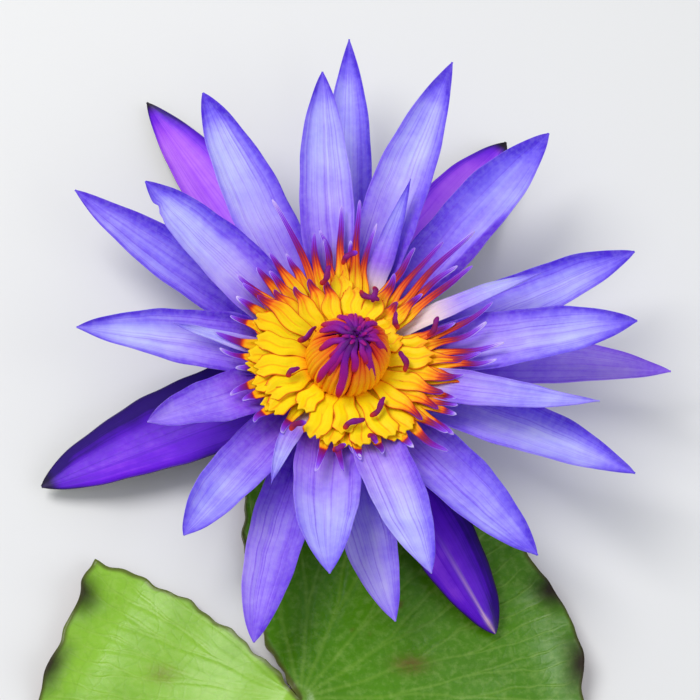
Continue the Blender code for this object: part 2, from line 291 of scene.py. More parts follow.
def sepal_material():
    n = Nodes("sepal_flesh")
    s, t, deep, pink, seed, under, rim = (n.attr(k) for k in ("along", "across", "deep", "pink", "seed", "under", "rim"))
    cell = n.noise(n.place(), 1000.0, 3.0, 0.6)
    cloud = n.noise(n.place(), 200.0, 3.0, 0.55)
    fine = n.noise(n.xyz(n.math("MULTIPLY", t, 15.0), n.math("MULTIPLY", s, 1.0), seed), 1.0, 4.0, 0.65)
    lines = n.span(fine, 0.46, 0.64)
    d = n.math("ADD", deep, n.math("MULTIPLY", n.math("SUBTRACT", cloud, 0.5), 0.3))
    d = n.math("ADD", d, n.math("MULTIPLY", lines, 0.12), clamp=True)
    col = n.ramp(d, [(0.0, rgb(200, 122, 255)), (0.3, rgb(166, 78, 246)), (0.55, rgb(112, 24, 226)),
                     (0.8, rgb(82, 0, 192)), (1.0, rgb(44, 0, 122))])
    col = n.mix(n.math("MULTIPLY", pink, n.span(fine, 0.3, 0.6, 0.6, 1.0)), col, rgb(238, 196, 214))
    col = n.mix(rim, col, rgb(16, 3, 22))
    # outer face: olive green streaked and dotted with purple-black
    streak = n.noise(n.xyz(n.math("MULTIPLY", t, 9.0), n.math("MULTIPLY", s, 5.0), n.math("ADD", seed, 4.0)), 1.6, 4.0, 0.7)
    olive = n.ramp(n.math("ADD", streak, n.math("MULTIPLY", n.math("ABSOLUTE", t), 0.10)),
                   [(0.30, rgb(126, 142, 66)), (0.50, rgb(96, 112, 52)), (0.60, rgb(74, 46, 58)), (0.74, rgb(44, 14, 44))])
    olive = n.mix(n.span(n.math("ABSOLUTE", t), 0.72, 1.0, 0.0, 0.75), olive, rgb(84, 24, 96))
    col = n.mix(under, col, olive)
    rough = n.span(cell, 0.2, 0.8, 0.36, 0.56)
    h = n.math("ADD", n.math("MULTIPLY", fine, 0.8), n.math("MULTIPLY", cell, 0.3))
    return n.finish(col, rough, h, bump=0.35, depth=0.0002, spec=0.28, sss=0.08, radius=(0.7, 0.3, 0.9),
                    sss_scale=0.0008)


def stamen_material(name, cone=False):
    n = Nodes(name)
    tone, t, s, seed, groove = (n.attr(k) for k in ("tone", "across", "along", "seed", "groove"))
    cell = n.noise(n.place(), 1500.0, 3.0, 0.6)
    fine = n.noise(n.xyz(n.math("MULTIPLY", t, 9.0), n.math("MULTIPLY", s, 1.4), seed), 1.0, 3.0, 0.6)
    x = n.math("ADD", tone, n.math("MULTIPLY", n.math("SUBTRACT", fine, 0.5),
                                   n.span(tone, 0.0, 0.25, 0.10, 0.22)))
    # painted shade: the middle groove and the margins where blades overlap run more orange and red
    x = n.math("ADD", x, n.math("MULTIPLY", groove, n.span(tone, 0.0, 0.3, 0.29, 0.20)))
    x = n.math("ADD", x, n.math("MULTIPLY", n.math("SUBTRACT", cell, 0.5), 0.05), clamp=True)
    if cone:
        stops = [(0.0, rgb(253, 204, 6)), (0.14, rgb(250, 164, 4)), (0.30, rgb(246, 122, 8)), (0.44, rgb(224, 62, 14)),
                 (0.56, rgb(182, 14, 40)), (0.68, rgb(164, 6, 120)), (0.86, rgb(122, 4, 150)), (1.0, rgb(70, 2, 96))]
    else:
        stops = [(0.0, rgb(255, 234, 0)), (0.14, rgb(254, 207, 0)), (0.26, rgb(250, 162, 0)), (0.38, rgb(238, 100, 4)),
                 (0.48, rgb(196, 40, 14)), (0.58, rgb(128, 6, 74)), (0.70, rgb(122, 16, 176)), (0.84, rgb(136, 74, 240)),
                 (1.0, rgb(222, 206, 255))]
    col = n.ramp(x, stops)
    col = n.mix(n.attr("dark"), col, rgb(74, 0, 50))
    rough = n.span(cell, 0.2, 0.8, 0.48, 0.68)
    h = n.math("ADD", n.math("MULTIPLY", fine, 0.7), n.math("MULTIPLY", cell, 0.5))
    return n.finish(col, rough, h, bump=0.35, depth=0.00016, spec=0.22, sss=0.12, radius=(1.0, 0.6, 0.2), sss_scale=0.0009)


def pad_material():
    n = Nodes("pad_skin")
    ang, rmm, rad, under, edge, dark, lobe, spot = (n.attr(k) for k in ("ang", "rmm", "rad", "under", "edge", "dark", "lobe", "spot"))
    cell = n.noise(n.place(), 700.0, 3.0, 0.6)
    cloud = n.noise(n.place(), 60.0, 4.0, 0.55)
    patch = n.noise(n.place(), 24.0, 3.0, 0.5)
    wob = n.math("MULTIPLY", n.math("SUBTRACT", n.noise(n.place(), 90.0, 2.0), 0.5), 0.10)
    gap = 2.0 * math.pi / 23.0
    a = n.math("ABSOLUTE", n.math("SUBTRACT", n.math("FRACT", n.math("DIVIDE", n.math("ADD", ang, wob), gap)), 0.5))
    d1 = n.math("ABSOLUTE", n.math("SUBTRACT", a, n.span(rad, 0.30, 0.62, 0.0, 0.25)))
    d2 = n.math("ABSOLUTE", n.math("SUBTRACT", d1, n.span(rad, 0.58, 0.86, 0.0, 0.125)))
    dist = n.math("MULTIPLY", n.math("MULTIPLY", d2, gap), rmm)
    vein = n.math("MULTIPLY", n.span(dist, 0.0, n.span(rad, 0.0, 1.0, 0.75, 0.35), 1.0, 0.0), n.span(rad, 0.9, 1.0, 1.0, 0.2))
    vor = n.new("ShaderNodeTexVoronoi", feature="DISTANCE_TO_EDGE")
    n.put(vor.inputs["Vector"], n.place())
    vor.inputs["Scale"].default_value = 330.0
    net = n.math("MULTIPLY", n.span(vor.outputs["Distance"], 0.0, 0.10, 1.0, 0.0), n.span(rad, 0.08, 0.3))
    f = n.math("ADD", lobe, n.math("MULTIPLY", n.math("SUBTRACT", patch, 0.5), 0.7), clamp=True)
    green = n.ramp(f, [(0.0, rgb(66, 118, 0)), (0.35, rgb(90, 152, 2)), (0.65, rgb(116, 174, 24)), (1.0, rgb(140, 192, 52))])
    col = n.mix(n.span(cloud, 0.35, 0.7, 0.0, 0.25), green, rgb(70, 126, 6))
    col = n.mix(n.math("MULTIPLY", net, 0.07), col, rgb(44, 88, 8))
    col = n.mix(n.math("MULTIPLY", vein, 0.17), col, rgb(158, 192, 84))
    col = n.mix(n.span(cell, 0.4, 0.75, 0.0, 0.14), col, rgb(196, 220, 130))
    col = n.mix(n.math("MULTIPLY", spot, n.span(cell, 0.3, 0.6, 0.5, 1.0)), col, rgb(104, 66, 26))
    fleck = n.span(n.noise(n.place(), 130.0, 2.0, 0.5), 0.70, 0.76)
    col = n.mix(n.math("MULTIPLY", fleck, 0.55), col, rgb(104, 72, 34))
    # thin brown margin, deeper where it has curled and dried; along the slit this dark edge is also painted shade, the
    # shadow line at the lobes' edges
    e = n.math("ADD", edge, n.math("MULTIPLY", n.math("SUBTRACT", cloud, 0.5), 1.6))
    col = n.mix(n.span(e, 0.15, 1.1, 0.75, 0.0), col, rgb(72, 56, 22))
    col = n.mix(n.math("MULTIPLY", dark, n.span(cloud, 0.3, 0.55, 0.7, 1.0)), col, rgb(34, 20, 6))
    # underside: purple brown with paler green ribs
    low = n.mix(n.span(cloud, 0.3, 0.7), rgb(112, 46, 58), rgb(134, 74, 60))
    low = n.mix(n.math("MULTIPLY", vein, 0.8), low, rgb(150, 150, 84))
    low = n.mix(n.math("MULTIPLY", net, 0.3), low, rgb(84, 30, 44))
    col = n.mix(under, col, low)
    rough = n.math("ADD", n.span(cloud, 0.3, 0.7, 0.26, 0.42), n.math("MULTIPLY", dark, 0.3))
    h = n.math("SUBTRACT", n.math("ADD", n.math("MULTIPLY", cell, 0.35), n.math("MULTIPLY", cloud, 0.5)),
               n.math("ADD", n.math("MULTIPLY", vein, 0.4), n.math("MULTIPLY", net, 0.08)))
    return n.finish(col, rough, h, bump=0.45, depth=0.0003, spec=0.36, sss=0.06, radius=(0.4, 1.0, 0.2), sss_scale=0.0008)


def stalk_material():
    n = Nodes("stalk_skin")
    ang, z = n.attr("ang"), n.attr("hmm")
    cell = n.noise(n.place(), 900.0, 3.0, 0.6)
    fine = n.noise(n.xyz(n.math("MULTIPLY", ang, 7.0), n.math("MULTIPLY", z, 0.12), 0.0), 1.0, 3.0, 0.6)
    col = n.ramp(fine, [(0.3, rgb(122, 128, 60)), (0.55, rgb(104, 92, 48)), (0.75, rgb(92, 56, 46))])
    col = n.mix(n.span(cell, 0.4, 0.7, 0.0, 0.25), col, rgb(160, 160, 96))
    col = n.mix(n.attr("cut"), col, n.mix(n.attr("canal"), rgb(206, 208, 150), rgb(58, 52, 30)))
    h = n.math("ADD", n.math("MULTIPLY", fine, 0.8), n.math("MULTIPLY", cell, 0.4))
    return n.finish(col, n.span(cell, 0.2, 0.8, 0.38, 0.55), h, bump=0.4, depth=0.0002, sss=0.05, sss_scale=0.0008)


def heart_material():
    n = Nodes("heart_flesh")
    ang, rmm, ray = n.attr("ang"), n.attr("rmm"), n.attr("ray")
    cell = n.noise(n.place(), 1300.0, 3.0, 0.6)
    col = n.ramp(n.math("ADD", n.math("MULTIPLY", ray, 0.7), n.math("MULTIPLY", cell, 0.3)),
                 [(0.2, rgb(196, 128, 20)), (0.6, rgb(250, 206, 40)), (1.0, rgb(255, 230, 90))])
    return n.finish(col, n.span(cell, 0.2, 0.8, 0.3, 0.5), n.math("ADD", ray, cell), bump=0.3, depth=0.0002, sss=0.1,
                    sss_scale=0.001)


def receptacle_material():
    n = Nodes("receptacle_skin")
    ang, z = n.attr("ang"), n.attr("hmm")
    cell = n.noise(n.place(), 800.0, 3.0, 0.6)
    fine = n.noise(n.xyz(n.math("MULTIPLY", ang, 9.0), n.math("MULTIPLY", z, 0.3), 0.0), 1.0, 3.0, 0.6)
    col = n.ramp(fine, [(0.3, rgb(128, 140, 66)), (0.55, rgb(112, 110, 60)), (0.8, rgb(84, 50, 70))])
    return n.finish(col, n.span(cell, 0.2, 0.8, 0.4, 0.6), n.math("ADD", fine, cell), bump=0.4, depth=0.0002)


PETAL, SEPAL, PAD = petal_material(), sepal_material(), pad_material()
STAMEN, CONE = stamen_material("stamen_flesh"), stamen_material("cone_flesh", cone=True)
STALK, HEART_MAT, CUP = stalk_material(), heart_material(), receptacle_material()

# ------------------------------------------------------------------ petals and sepals
# whorl: radius and height of the foot, rise at the foot and at the tip
WHORLS = {
    "calyx":  (9.2, 7.2, -4.0, -5.5),
    "lowest": (8.8, 8.6, 5.0, 9.0),
    "lower":  (8.4, 10.0, 12.0, 16.0),
    "upper":  (8.0, 11.4, 17.0, 22.0),
    "inner":  (7.6, 12.8, 19.0, 25.0),
}
# whorl, heading, length, width, sideways bend, extra rise, trough, widest place, step
BLADES = {
    "sepal_1": ("calyx", 121, 69, 13.0, 3, 0, 35, 0.50, 0),
    "sepal_2": ("calyx", 59, 56.5, 16.0, -2, 0, 35, 0.50, 0),
    "sepal_3": ("calyx", 198, 55.5, 17.0, 7, 0, 35, 0.40, 0),
    "sepal_4": ("calyx", 299, 53, 12.5, 0, 0, 35, 0.50, 0),
    "petal_01": ("lowest", 88, 64.5, 10.0, 2, 0, 35, 0.50, 0),
    "petal_07": ("lowest", 3, 57.5, 10.0, -14, 0, 35, 0.50, 0),
    "petal_12": ("lowest", 275, 48.5, 11.2, 13, 0, 35, 0.50, 0),
    "petal_14": ("lowest", 248, 54.5, 11.2, 15, 0, 35, 0.50, 0),
    "petal_18": ("lowest", 147, 58, 11.2, -3, 0, 35, 0.50, 0),
    "petal_04": ("lower", 49, 56, 12.0, -3, 0, 35, 0.50, -0.2),
    "petal_05": ("lower", 17, 55, 10.8, 3, 0, 35, 0.50, 0),
    "petal_09": ("lower", 337, 57, 10.0, -9, 0, 35, 0.50, -0.3),
    "petal_10": ("lower", 310, 52, 12.0, -1, 0, 35, 0.50, 0),
    "petal_15": ("lower", 229, 44.5, 10.8, 11, 4, 35, 0.50, 0),
    "petal_20": ("lower", 118, 56, 12.0, -2, 0, 35, 0.50, 0),
    "petal_02": ("upper", 97, 52.5, 10.8, -7, 0, 35, 0.50, 0.7),
    "petal_03": ("upper", 73.2, 58.5, 11.6, -9.4, 0, 35, 0.50, -0.25),
    "petal_06": ("upper", 3, 53, 12.0, -4, 0, 35, 0.50, -0.1),
    "petal_11": ("upper", 289, 49.5, 10.8, -2, 2, 35, 0.50, 1),
    "petal_13": ("upper", 262, 45, 13.2, 13, 0, 35, 0.50, -0.7),
    "petal_16": ("upper", 203, 37, 10.4, 9, 5, 35, 0.50, 0.3),
    "petal_17": ("upper", 174, 47, 12.0, 12, 0, 35, 0.50, -0.1),
    "petal_19": ("upper", 139, 46.5, 12.0, 2, 0, 35, 0.50, 0),
    "petal_08": ("inner", 338, 48.5, 7.2, 8, 0, 35, 0.50, 0),
    "petal_21": ("inner", 237, 28.5, 4.0, 24, 0, 20, 0.50, 0),
    "petal_22": ("inner", 68, 32.5, 5.2, 1, 0, 20, 0.50, 0),
    "petal_23": ("inner", 27, 37, 4.0, -22, 0, 20, 0.50, 0),
    "petal_24": ("inner", 174, 28, 3.4, 0, 0, 20, 0.50, 0),
}
# How each one is coloured and formed. deep: violet all over; left, right: more of it
# on the side to the left or right of someone looking out along the petal; margin, tip,
# foot: more of it there; pink: purple wash from the foot; fold: a keel along the
# middle, mm; wave: rippling of the margin, mm; hook: turn of the tip, mm;
# white: how far the white foot reaches; shade_strip: painted shade, a deep band along the
# right-hand side of the lower half; flush: the least purple wash anywhere.
LOOKS = {
    "petal_01": dict(deep=0.28, left=0.0, right=0.34, foot=0.35, pink=0.30, tip=0.7),
    "petal_02": dict(deep=0.12, left=0.22, right=0.05, pink=0.42, tip=0.55, fold=0.3),
    "petal_03": dict(wide=1.10, deep=0.12, left=0.12, right=0.32, pink=0.44, tip=1.0, fold=0.3),
    # petal_04: its deeper left half is painted shade of its fold, and the deep strip along its lower right is painted
    # shade
    "petal_04": dict(shade_strip=0.9, deep=0.40, left=0.30, right=-0.16, pink=0.40, tip=0.6, fold=1.2, margin=0.4),
    "petal_05": dict(deep=0.26, left=0.35, right=0.05, pink=0.3, tip=0.6, margin=0.5, fold=0.5),
    "petal_06": dict(deep=0.20, left=0.25, right=0.10, pink=0.46, tip=0.6, margin=0.6),
    "petal_07": dict(flush=0.62, deep=0.24, left=0.05, right=0.0, foot=0.4, pink=0.8, tip=0.2, margin=0.2),
    "petal_08": dict(deep=0.22, left=0.05, right=0.05, pink=0.42, tip=0.12, margin=0.2, white=0.26, fold=0.3),
    "petal_09": dict(wide=1.18, low=0.08, deep=0.20, left=0.46, right=0.0, foot=0.25, pink=0.22, tip=0.55, fold=0.6),
    "petal_10": dict(deep=0.30, left=0.34, right=0.0, pink=0.40, tip=0.45, fold=0.5),
    "petal_11": dict(deep=0.10, left=0.36, right=0.0, pink=0.50, tip=0.2, white=0.10),
    "petal_12": dict(flush=0.30, deep=0.16, left=0.26, right=0.0, foot=0.55, pink=0.3, tip=0.2, margin=0.25),
    "petal_13": dict(deep=0.16, left=0.08, right=0.08, pink=0.70, tip=0.26, fold=0.4, margin=0.3),
    "petal_14": dict(flush=0.45, deep=0.34, left=0.24, right=-0.1, foot=0.55, pink=0.62, tip=0.15, margin=0.2),
    "petal_15": dict(deep=0.24, left=0.08, right=0.12, foot=0.15, pink=0.66, tip=0.35, fold=0.5, wave=0.5),
    "petal_16": dict(flush=0.5, deep=0.36, left=0.12, right=0.16, foot=0.25, pink=1.15, tip=-0.1, wave=0.5, hook=0.6),
    "petal_17": dict(wide=1.12, low=0.13, deep=0.06, left=0.22, right=0.44, foot=0.35, pink=0.50, tip=0.3, margin=0.5),
    # petal_18: its deep right side and foot are painted shade, where petal_19 and petal_17 lie over it
    "petal_18": dict(flush=0.15, wide=1.07, low=0.06, deep=0.44, left=-0.15, right=0.44, foot=0.50, pink=0.36, tip=0.3, margin=0.5),
    "petal_19": dict(deep=0.16, left=-0.05, right=0.5, foot=0.05, pink=0.44, tip=0.5, notch=1, wide=1.08, low=0.08),
    "petal_20": dict(wide=1.06, deep=0.10, left=0.0, right=0.42, pink=0.40, tip=0.8, margin=0.5),
    "petal_21": dict(deep=0.24, left=0.0, right=0.05, pink=0.9, tip=0.35, margin=0.1, white=0.34),
    "petal_22": dict(wide=0.94, deep=0.40, left=0.0, right=0.25, pink=1.1, tip=0.45, margin=0.2, white=0.34),
    "petal_23": dict(deep=0.12, left=0.0, right=0.1, pink=0.8, tip=0.35, margin=0.2, white=0.42),
    "petal_24": dict(deep=0.10, left=0.0, right=0.05, pink=0.7, tip=0.3, margin=0.1, white=0.30),
    "sepal_1": dict(deep=0.10, left=-0.1, right=0.40, tip=0.5, foot=0.0, black=1.0, edge=0.05, char=0.945),
    "sepal_2": dict(deep=0.14, left=0.12, right=0.50, tip=0.3, foot=0.3, black=1.0, edge=0.10, char=0.935),
    # sepal_3: its deep violet is partly its own colour and partly painted shade, for it lies beneath the others
    "sepal_3": dict(wide=1.13, low=0.05, deep=0.56, left=-0.04, right=0.40, tip=0.22, foot=0.24, black=0.85, edge=0.50, keel=0.0, streak=0.03),
    # sepal_4: its deeper left half is painted shade on the far side of its keel
    "sepal_4": dict(wide=1.13, deep=0.52, left=0.34, right=-0.08, tip=0.2, foot=0.3, black=0.35, edge=1.0, keel=1.0, fold=1.0),
}
TIP_FORM = {  # blunter or sharper ends: exponents of the closing curve
    "petal_01": (2.2, 0.95), "petal_03": (2.0, 0.9), "petal_04": (3.0, 0.85), "petal_16": (2.0, 0.8),
    "petal_08": (1.6, 1.05), "petal_21": (1.5, 1.1), "petal_22": (1.6, 1.1), "petal_23": (1.6, 1.0), "petal_24": (1.5, 1.0),
    "petal_06": (2.4, 0.8), "petal_05": (2.5, 0.8), "petal_12": (2.2, 0.85), "sepal_3": (2.0, 0.72), "sepal_4": (2.7, 0.72), "petal_20": (2.3, 0.78), "petal_19": (2.3, 0.78), "petal_18": (2.1, 0.85), "petal_15": (2.4, 0.75),
    "petal_09": (2.5, 0.85), "petal_14": (2.4, 0.75),
}


def half_width(s, width, widest, p=2.2, q=0.85, foot=0.52):
    widest = widest - 0.05
    rise = foot + (1.0 - foot) * np.sin(0.5 * np.pi * np.clip(s / widest, 0, 1))
    x = np.clip((s - widest) / (1.0 - widest), 0, 1)
    fall = np.maximum(1.0 - x ** p, 0.0) ** q
    return 0.5 * width * np.maximum(np.where(s < widest, rise, fall), 0.03)


def blade(name, spec, look, order):
    whorl, heading, length, width, bend, lift, trough, widest, step = spec
    foot_r, foot_z, rise0, rise1 = WHORLS[whorl]
    rise1 += lift
    n, m = 64, 25
    # rows crowd towards the tip, where the outline turns fastest
    s = 1.0 - (1.0 - np.linspace(0, 1, n)) ** 1.25
    v = np.linspace(-1, 1, m)
    v = np.sin(v * np.pi / 2) * 0.5 + v * 0.5
    ds = np.diff(s)
    mid = (s[1:] + s[:-1]) / 2
    th = np.radians(rise0 + (rise1 - rise0) * mid ** 1.2)
    ps = np.radians(heading + bend * mid)
    a = math.radians(heading)
    step_v = np.stack([np.cos(th) * np.cos(ps), np.cos(th) * np.sin(ps), np.sin(th)], 1) * (length * ds)[:, None]
    p0 = np.array([foot_r * math.cos(a), foot_r * math.sin(a), foot_z + step])
    line = np.vstack([p0, p0 + np.cumsum(step_v, 0)])
    th = np.radians(rise0 + (rise1 - rise0) * s ** 1.2)
    ps = np.radians(heading + bend * s)
    side = np.stack([-np.sin(ps), np.cos(ps), 0 * s], 1)
    up = np.stack([-np.sin(th) * np.cos(ps), -np.sin(th) * np.sin(ps), np.cos(th)], 1)
    p, q = TIP_FORM.get(name, (2.2, 0.85))
    hw = half_width(s, width * look.get("wide", 1.07), widest - look.get("low", 0.0), p, q)
    rng = random.Random(order * 7 + 1)
    ph = [rng.uniform(0, 6.28) for _ in range(6)]
    al = math.radians(trough)
    S, V = np.meshgrid(s, v, indexing="ij")
    HW = hw[:, None] * np.ones_like(V)
    if look.get("notch"):
        HW = HW * (1.0 - (V > 0) * 0.34 * bell(S, 0.885, 0.018) - (V > 0) * 0.10 * bell(S, 0.84, 0.02))
    # a slightly uneven outline
    HW = HW * (1.0 + 0.018 * np.sin(S * 17 + ph[0] + V) * (np.abs(V) > 0.5) + 0.010 * np.sin(S * 41 + ph[1]) * np.sign(V))
    R = HW / al
    lat = R * np.sin(V * al)
    rise = R * (1.0 - np.cos(V * al))
    body = smooth(0.0, 0.25, S) * smooth(1.0, 0.9, S)
    fold = look.get("fold", 0.0)
    rise = rise + fold * (np.abs(V) - 0.45) * body * np.clip(HW / (0.5 * width), 0, 1)
    wave = look.get("wave", 0.28)
    rise = rise + wave * np.abs(V) ** 3 * (np.sin(S * 9.5 + ph[2] + 0.8 * np.sign(V)) + 0.5 * np.sin(S * 21 + ph[3] - np.sign(V))) * body
    # soft pleats between the nerves
    rise = rise + 0.07 * np.cos(V * math.pi * 3.5 + ph[4]) * body * (HW / (0.5 * width))
    # the very tip turns up or down a little
    rise = rise + look.get("hook", 0.35) * smooth(0.86, 1.0, S) ** 2
    top = line[:, None, :] + side[:, None, :] * lat[:, :, None] + up[:, None, :] * rise[:, :, None]
    thick = (0.62 * (1.0 - np.abs(V) ** 2.2) + 0.13) * (0.35 + 0.65 * smooth(1.0, 0.8, S))
    if whorl == "calyx":
        thick = thick * 1.15 + 0.25 * bell(V, 0.0, 0.16) * body
    nrm = np.cross(np.gradient(top, axis=0), np.gradient(top, axis=1))
    nrm /= np.maximum(np.linalg.norm(nrm, axis=2), 1e-9)[:, :, None]
    bottom = top - nrm * thick[:, :, None]
    # colour fields
    L, Rr = smooth(0.10, 0.85, V), smooth(0.10, 0.85, -V)
    tip, foot = smooth(0.80, 1.0, S), smooth(0.62, 0.08, S)
    margin = smooth(0.70, 1.0, np.abs(V))
    deep = look.get("deep", 0.2) + look.get("left", 0) * L + look.get("right", 0) * Rr \
        + (look.get("tip", 0.4) * 1.3 + 0.14) * tip * (0.6 + 0.4 * np.abs(V)) + (look.get("foot", 0.1) + 0.10) * foot \
        + (look.get("margin", 0.36) * 0.75) * margin * smooth(0.15, 0.4, S)
    # painted shade: a deep band along the right-hand side of the lower half, which also takes the purple wash below
    shade_strip = look.get("shade_strip", 0.0) * smooth(0.0, 0.15, -V - 0.18 - 0.70 * S) * smooth(0.70, 0.58, S)
    deep = deep + shade_strip
    attrs = dict(along=S, across=V, deep=deep, seed=order * 3.17, under=(0.0, 1.0))
    if whorl == "calyx":
        rim = look["edge"] * smooth(0.92, 1.0, np.abs(V)) + look["black"] * smooth(look.get("char", 0.93), look.get("char", 0.93) + 0.045, S)
        keel = look.get("keel", 0.0) * bell(V, -0.03, 0.045 + 0.20 * smooth(0.88, 1.0, S)) * smooth(0.50, 0.95, S)
        attrs["deep"] = deep - look.get("streak", 0.0) * bell(V, 0.18, 0.16) * smooth(0.1, 0.5, S)
        attrs.update(rim=np.clip(rim, 0, 1), pink=np.clip(keel, 0, 1))
        mat, slot = SEPAL, "sepals"
    else:
        pink = (look.get("pink", 0.3) + 0.22) * smooth(0.80, 0.10, S) * 1.25
        pink = np.maximum(pink, look.get("flush", 0.0)) + 0.6 * shade_strip
        white = smooth(look.get("white", -0.2) + 0.14, look.get("white", -0.2) - 0.10, S) if "white" in look else 0.0 * S
        attrs.update(pink=np.clip(pink, 0, 1), white=np.clip(white, 0, 1) * 0.85, dark=0.0)
        mat, slot = PETAL, ("petals_low" if whorl == "lowest" else "petals")
    pile = Pile()
    pile.sheet(top, bottom, **attrs)
    return pile.make(name + "_flesh", mat, slot, name)


for order, (name, spec) in enumerate(BLADES.items()):
    blade(name, spec, LOOKS[name], order + 1)


# ------------------------------------------------------------------ stamens
def path_frame(path):
    tan = np.gradient(path, axis=0)
    tan /= np.maximum(np.linalg.norm(tan, axis=1), 1e-9)[:, None]
    return tan


def stamen(pile, heading, r0, z0, body, reach, width, neck, rise0, rise1, bend, swing, curl, roll, warm, seed, lobes=0.0,
           pale=0.0):
    """One flat stamen: a broad blade as far as radius body, then, where reach is
    beyond it, a narrow appendage. lobes is how deep its blunt end is cut, mm."""
    n, m = 38, 15
    body, reach = max(body, r0 + 2.0), max(reach, body + 0.2)
    sy = min((body - r0) / (reach - r0), 0.985)
    s = np.linspace(0, 1, n)
    v = np.linspace(-1, 1, m)
    mid = (s[1:] + s[:-1]) / 2
    rng = random.Random(seed)
    ph = [rng.uniform(0, 6.28) for _ in range(5)]
    tail = lambda x: np.clip((x - sy) / max(1.0 - sy, 1e-6), 0, 1) if reach > body + 0.5 else 0.0 * x
    rise = lambda x: np.radians(rise0 + (rise1 - rise0) * x + curl * tail(x) ** 1.3)
    snake = rng.uniform(-8, 8)
    head = lambda x: np.radians(heading + bend * x + 1.7 * swing * tail(x) ** 1.2 + snake * np.sin(2 * math.pi * tail(x)))
    th, ps = rise(mid), head(mid)
    length = (reach - r0) / math.cos(math.radians((rise0 + rise1) / 2))
    d = np.stack([np.cos(th) * np.cos(ps), np.cos(th) * np.sin(ps), np.sin(th)], 1) * (length / (n - 1))
    a = math.radians(heading)
    p0 = np.array([r0 * math.cos(a), r0 * math.sin(a), z0])
    line = np.vstack([p0, p0 + np.cumsum(d, 0)])
    th, ps = rise(s), head(s)
    side = np.stack([-np.sin(ps), np.cos(ps), 0 * s], 1)
    up = np.stack([-np.sin(th) * np.cos(ps), -np.sin(th) * np.sin(ps), np.cos(th)], 1)
    ro = math.radians(roll)
    side, up = side * math.cos(ro) + up * math.sin(ro), up * math.cos(ro) - side * math.sin(ro)
    grow = 0.46 + 0.54 * np.sin(np.clip(s / (0.66 * sy), 0, 1) * math.pi / 2)
    if lobes > 0:
        w = width * grow * (1.0 - 0.30 * smooth(0.90 * sy, sy * 1.02, s))
    else:
        into = smooth(0.66 * sy, min(sy * 1.10, 0.97), s)
        w = width * grow * (1 - into) + neck * (1.0 - 0.62 * tail(s) ** 1.3) * into
        w = w * np.sqrt(np.clip((1.0 - s) / 0.035, 0.10, 1))
    S, V = np.meshgrid(s, v, indexing="ij")
    HW = 0.5 * w[:, None]
    onbody = smooth(0.18 * sy, 0.42 * sy, S) * smooth(sy * 1.06, 0.86 * sy, S)
    z = 0.34 * V * V * onbody + 0.15 * onbody * (np.cos(V * math.pi * 2.0 + math.pi) + 0.40 * np.cos(V * math.pi * 5 + ph[0]))
    z = z + 0.12 * np.sin(S * 8 + ph[1]) * V
    z = z - (0.45 * HW * V * V) * tail(S)
    shift = np.zeros_like(S)
    if lobes > 0:
        cutline = 0.75 * np.cos(V * math.pi * 2.0 + ph[2]) + 0.28 * np.cos(V * math.pi * 3.4 + ph[3]) - 0.9 * V * V
        shift = smooth(0.78, 1.0, S) * lobes * cutline
    wob = 0.06 * width * np.sin(S * 11 + ph[4])
    tan = path_frame(line)
    top = (line[:, None, :] + side[:, None, :] * (HW * V + wob * (1 - tail(S)))[:, :, None] + up[:, None, :] * z[:, :, None]
           + tan[:, None, :] * shift[:, :, None])
    thick = (0.34 * (1 - 0.7 * np.abs(V) ** 3) + 0.06) * (1 - 0.2 * tail(S)) + 0.25 * HW * (1 - V * V) * tail(S)
    bottom = top - up[:, None, :] * thick[:, :, None]
    left = 1.0 - sy
    stops = [0, 0.45 * sy, 0.80 * sy, sy, sy + 0.22 * left, sy + 0.45 * left, sy + 0.72 * left, 1.001]
    hot = [0.07, 0.06, 0.17, 0.34, 0.47, 0.60, 0.73, 0.88]
    cool = [0.07, 0.05, 0.08, 0.24, 0.56, 0.66, 0.78, 0.88]
    # the cool ones turn from yellow to violet in a much shorter stretch
    cool_stops = stops[:3] + [sy + 0.06 * left, sy + 0.13 * left, sy + 0.40 * left, sy + 0.70 * left, 1.001]
    if lobes > 0:
        tone = np.interp(S, stops, [0.07, 0.045, 0.07 + 0.06 * warm, 0.15 + 0.20 * warm] + [0.12 + 0.22 * warm] * 4)
    else:
        tone = warm * np.interp(S, stops, hot) + (1.0 - warm) * np.interp(S, cool_stops, cool)
    # the last two terms are painted shade: more orange towards the margins, where blades overlap, and near the foot,
    # under the cone
    tone = tone + pale * tail(S) + 0.035 * np.abs(V) ** 3 + 0.17 * smooth(0.24, 0.0, S)
    tone = tone + 0.05 * np.sin(V * 9 + ph[0]) * smooth(0.55 * sy, sy, S) * warm
    # painted shade in the middle groove and at the margins, where the next blade overlaps
    groove = onbody * (bell(V, 0.0, 0.07) * 0.6 + 0.3 * bell(np.abs(V), 0.5, 0.05)) + smooth(0.84, 1.0, np.abs(V)) * (1.15 - 0.6 * tail(S))
    pile.sheet(top, bottom, along=S, across=V, tone=np.clip(tone, 0, 1), groove=groove, seed=seed * 1.7, dark=0.0)


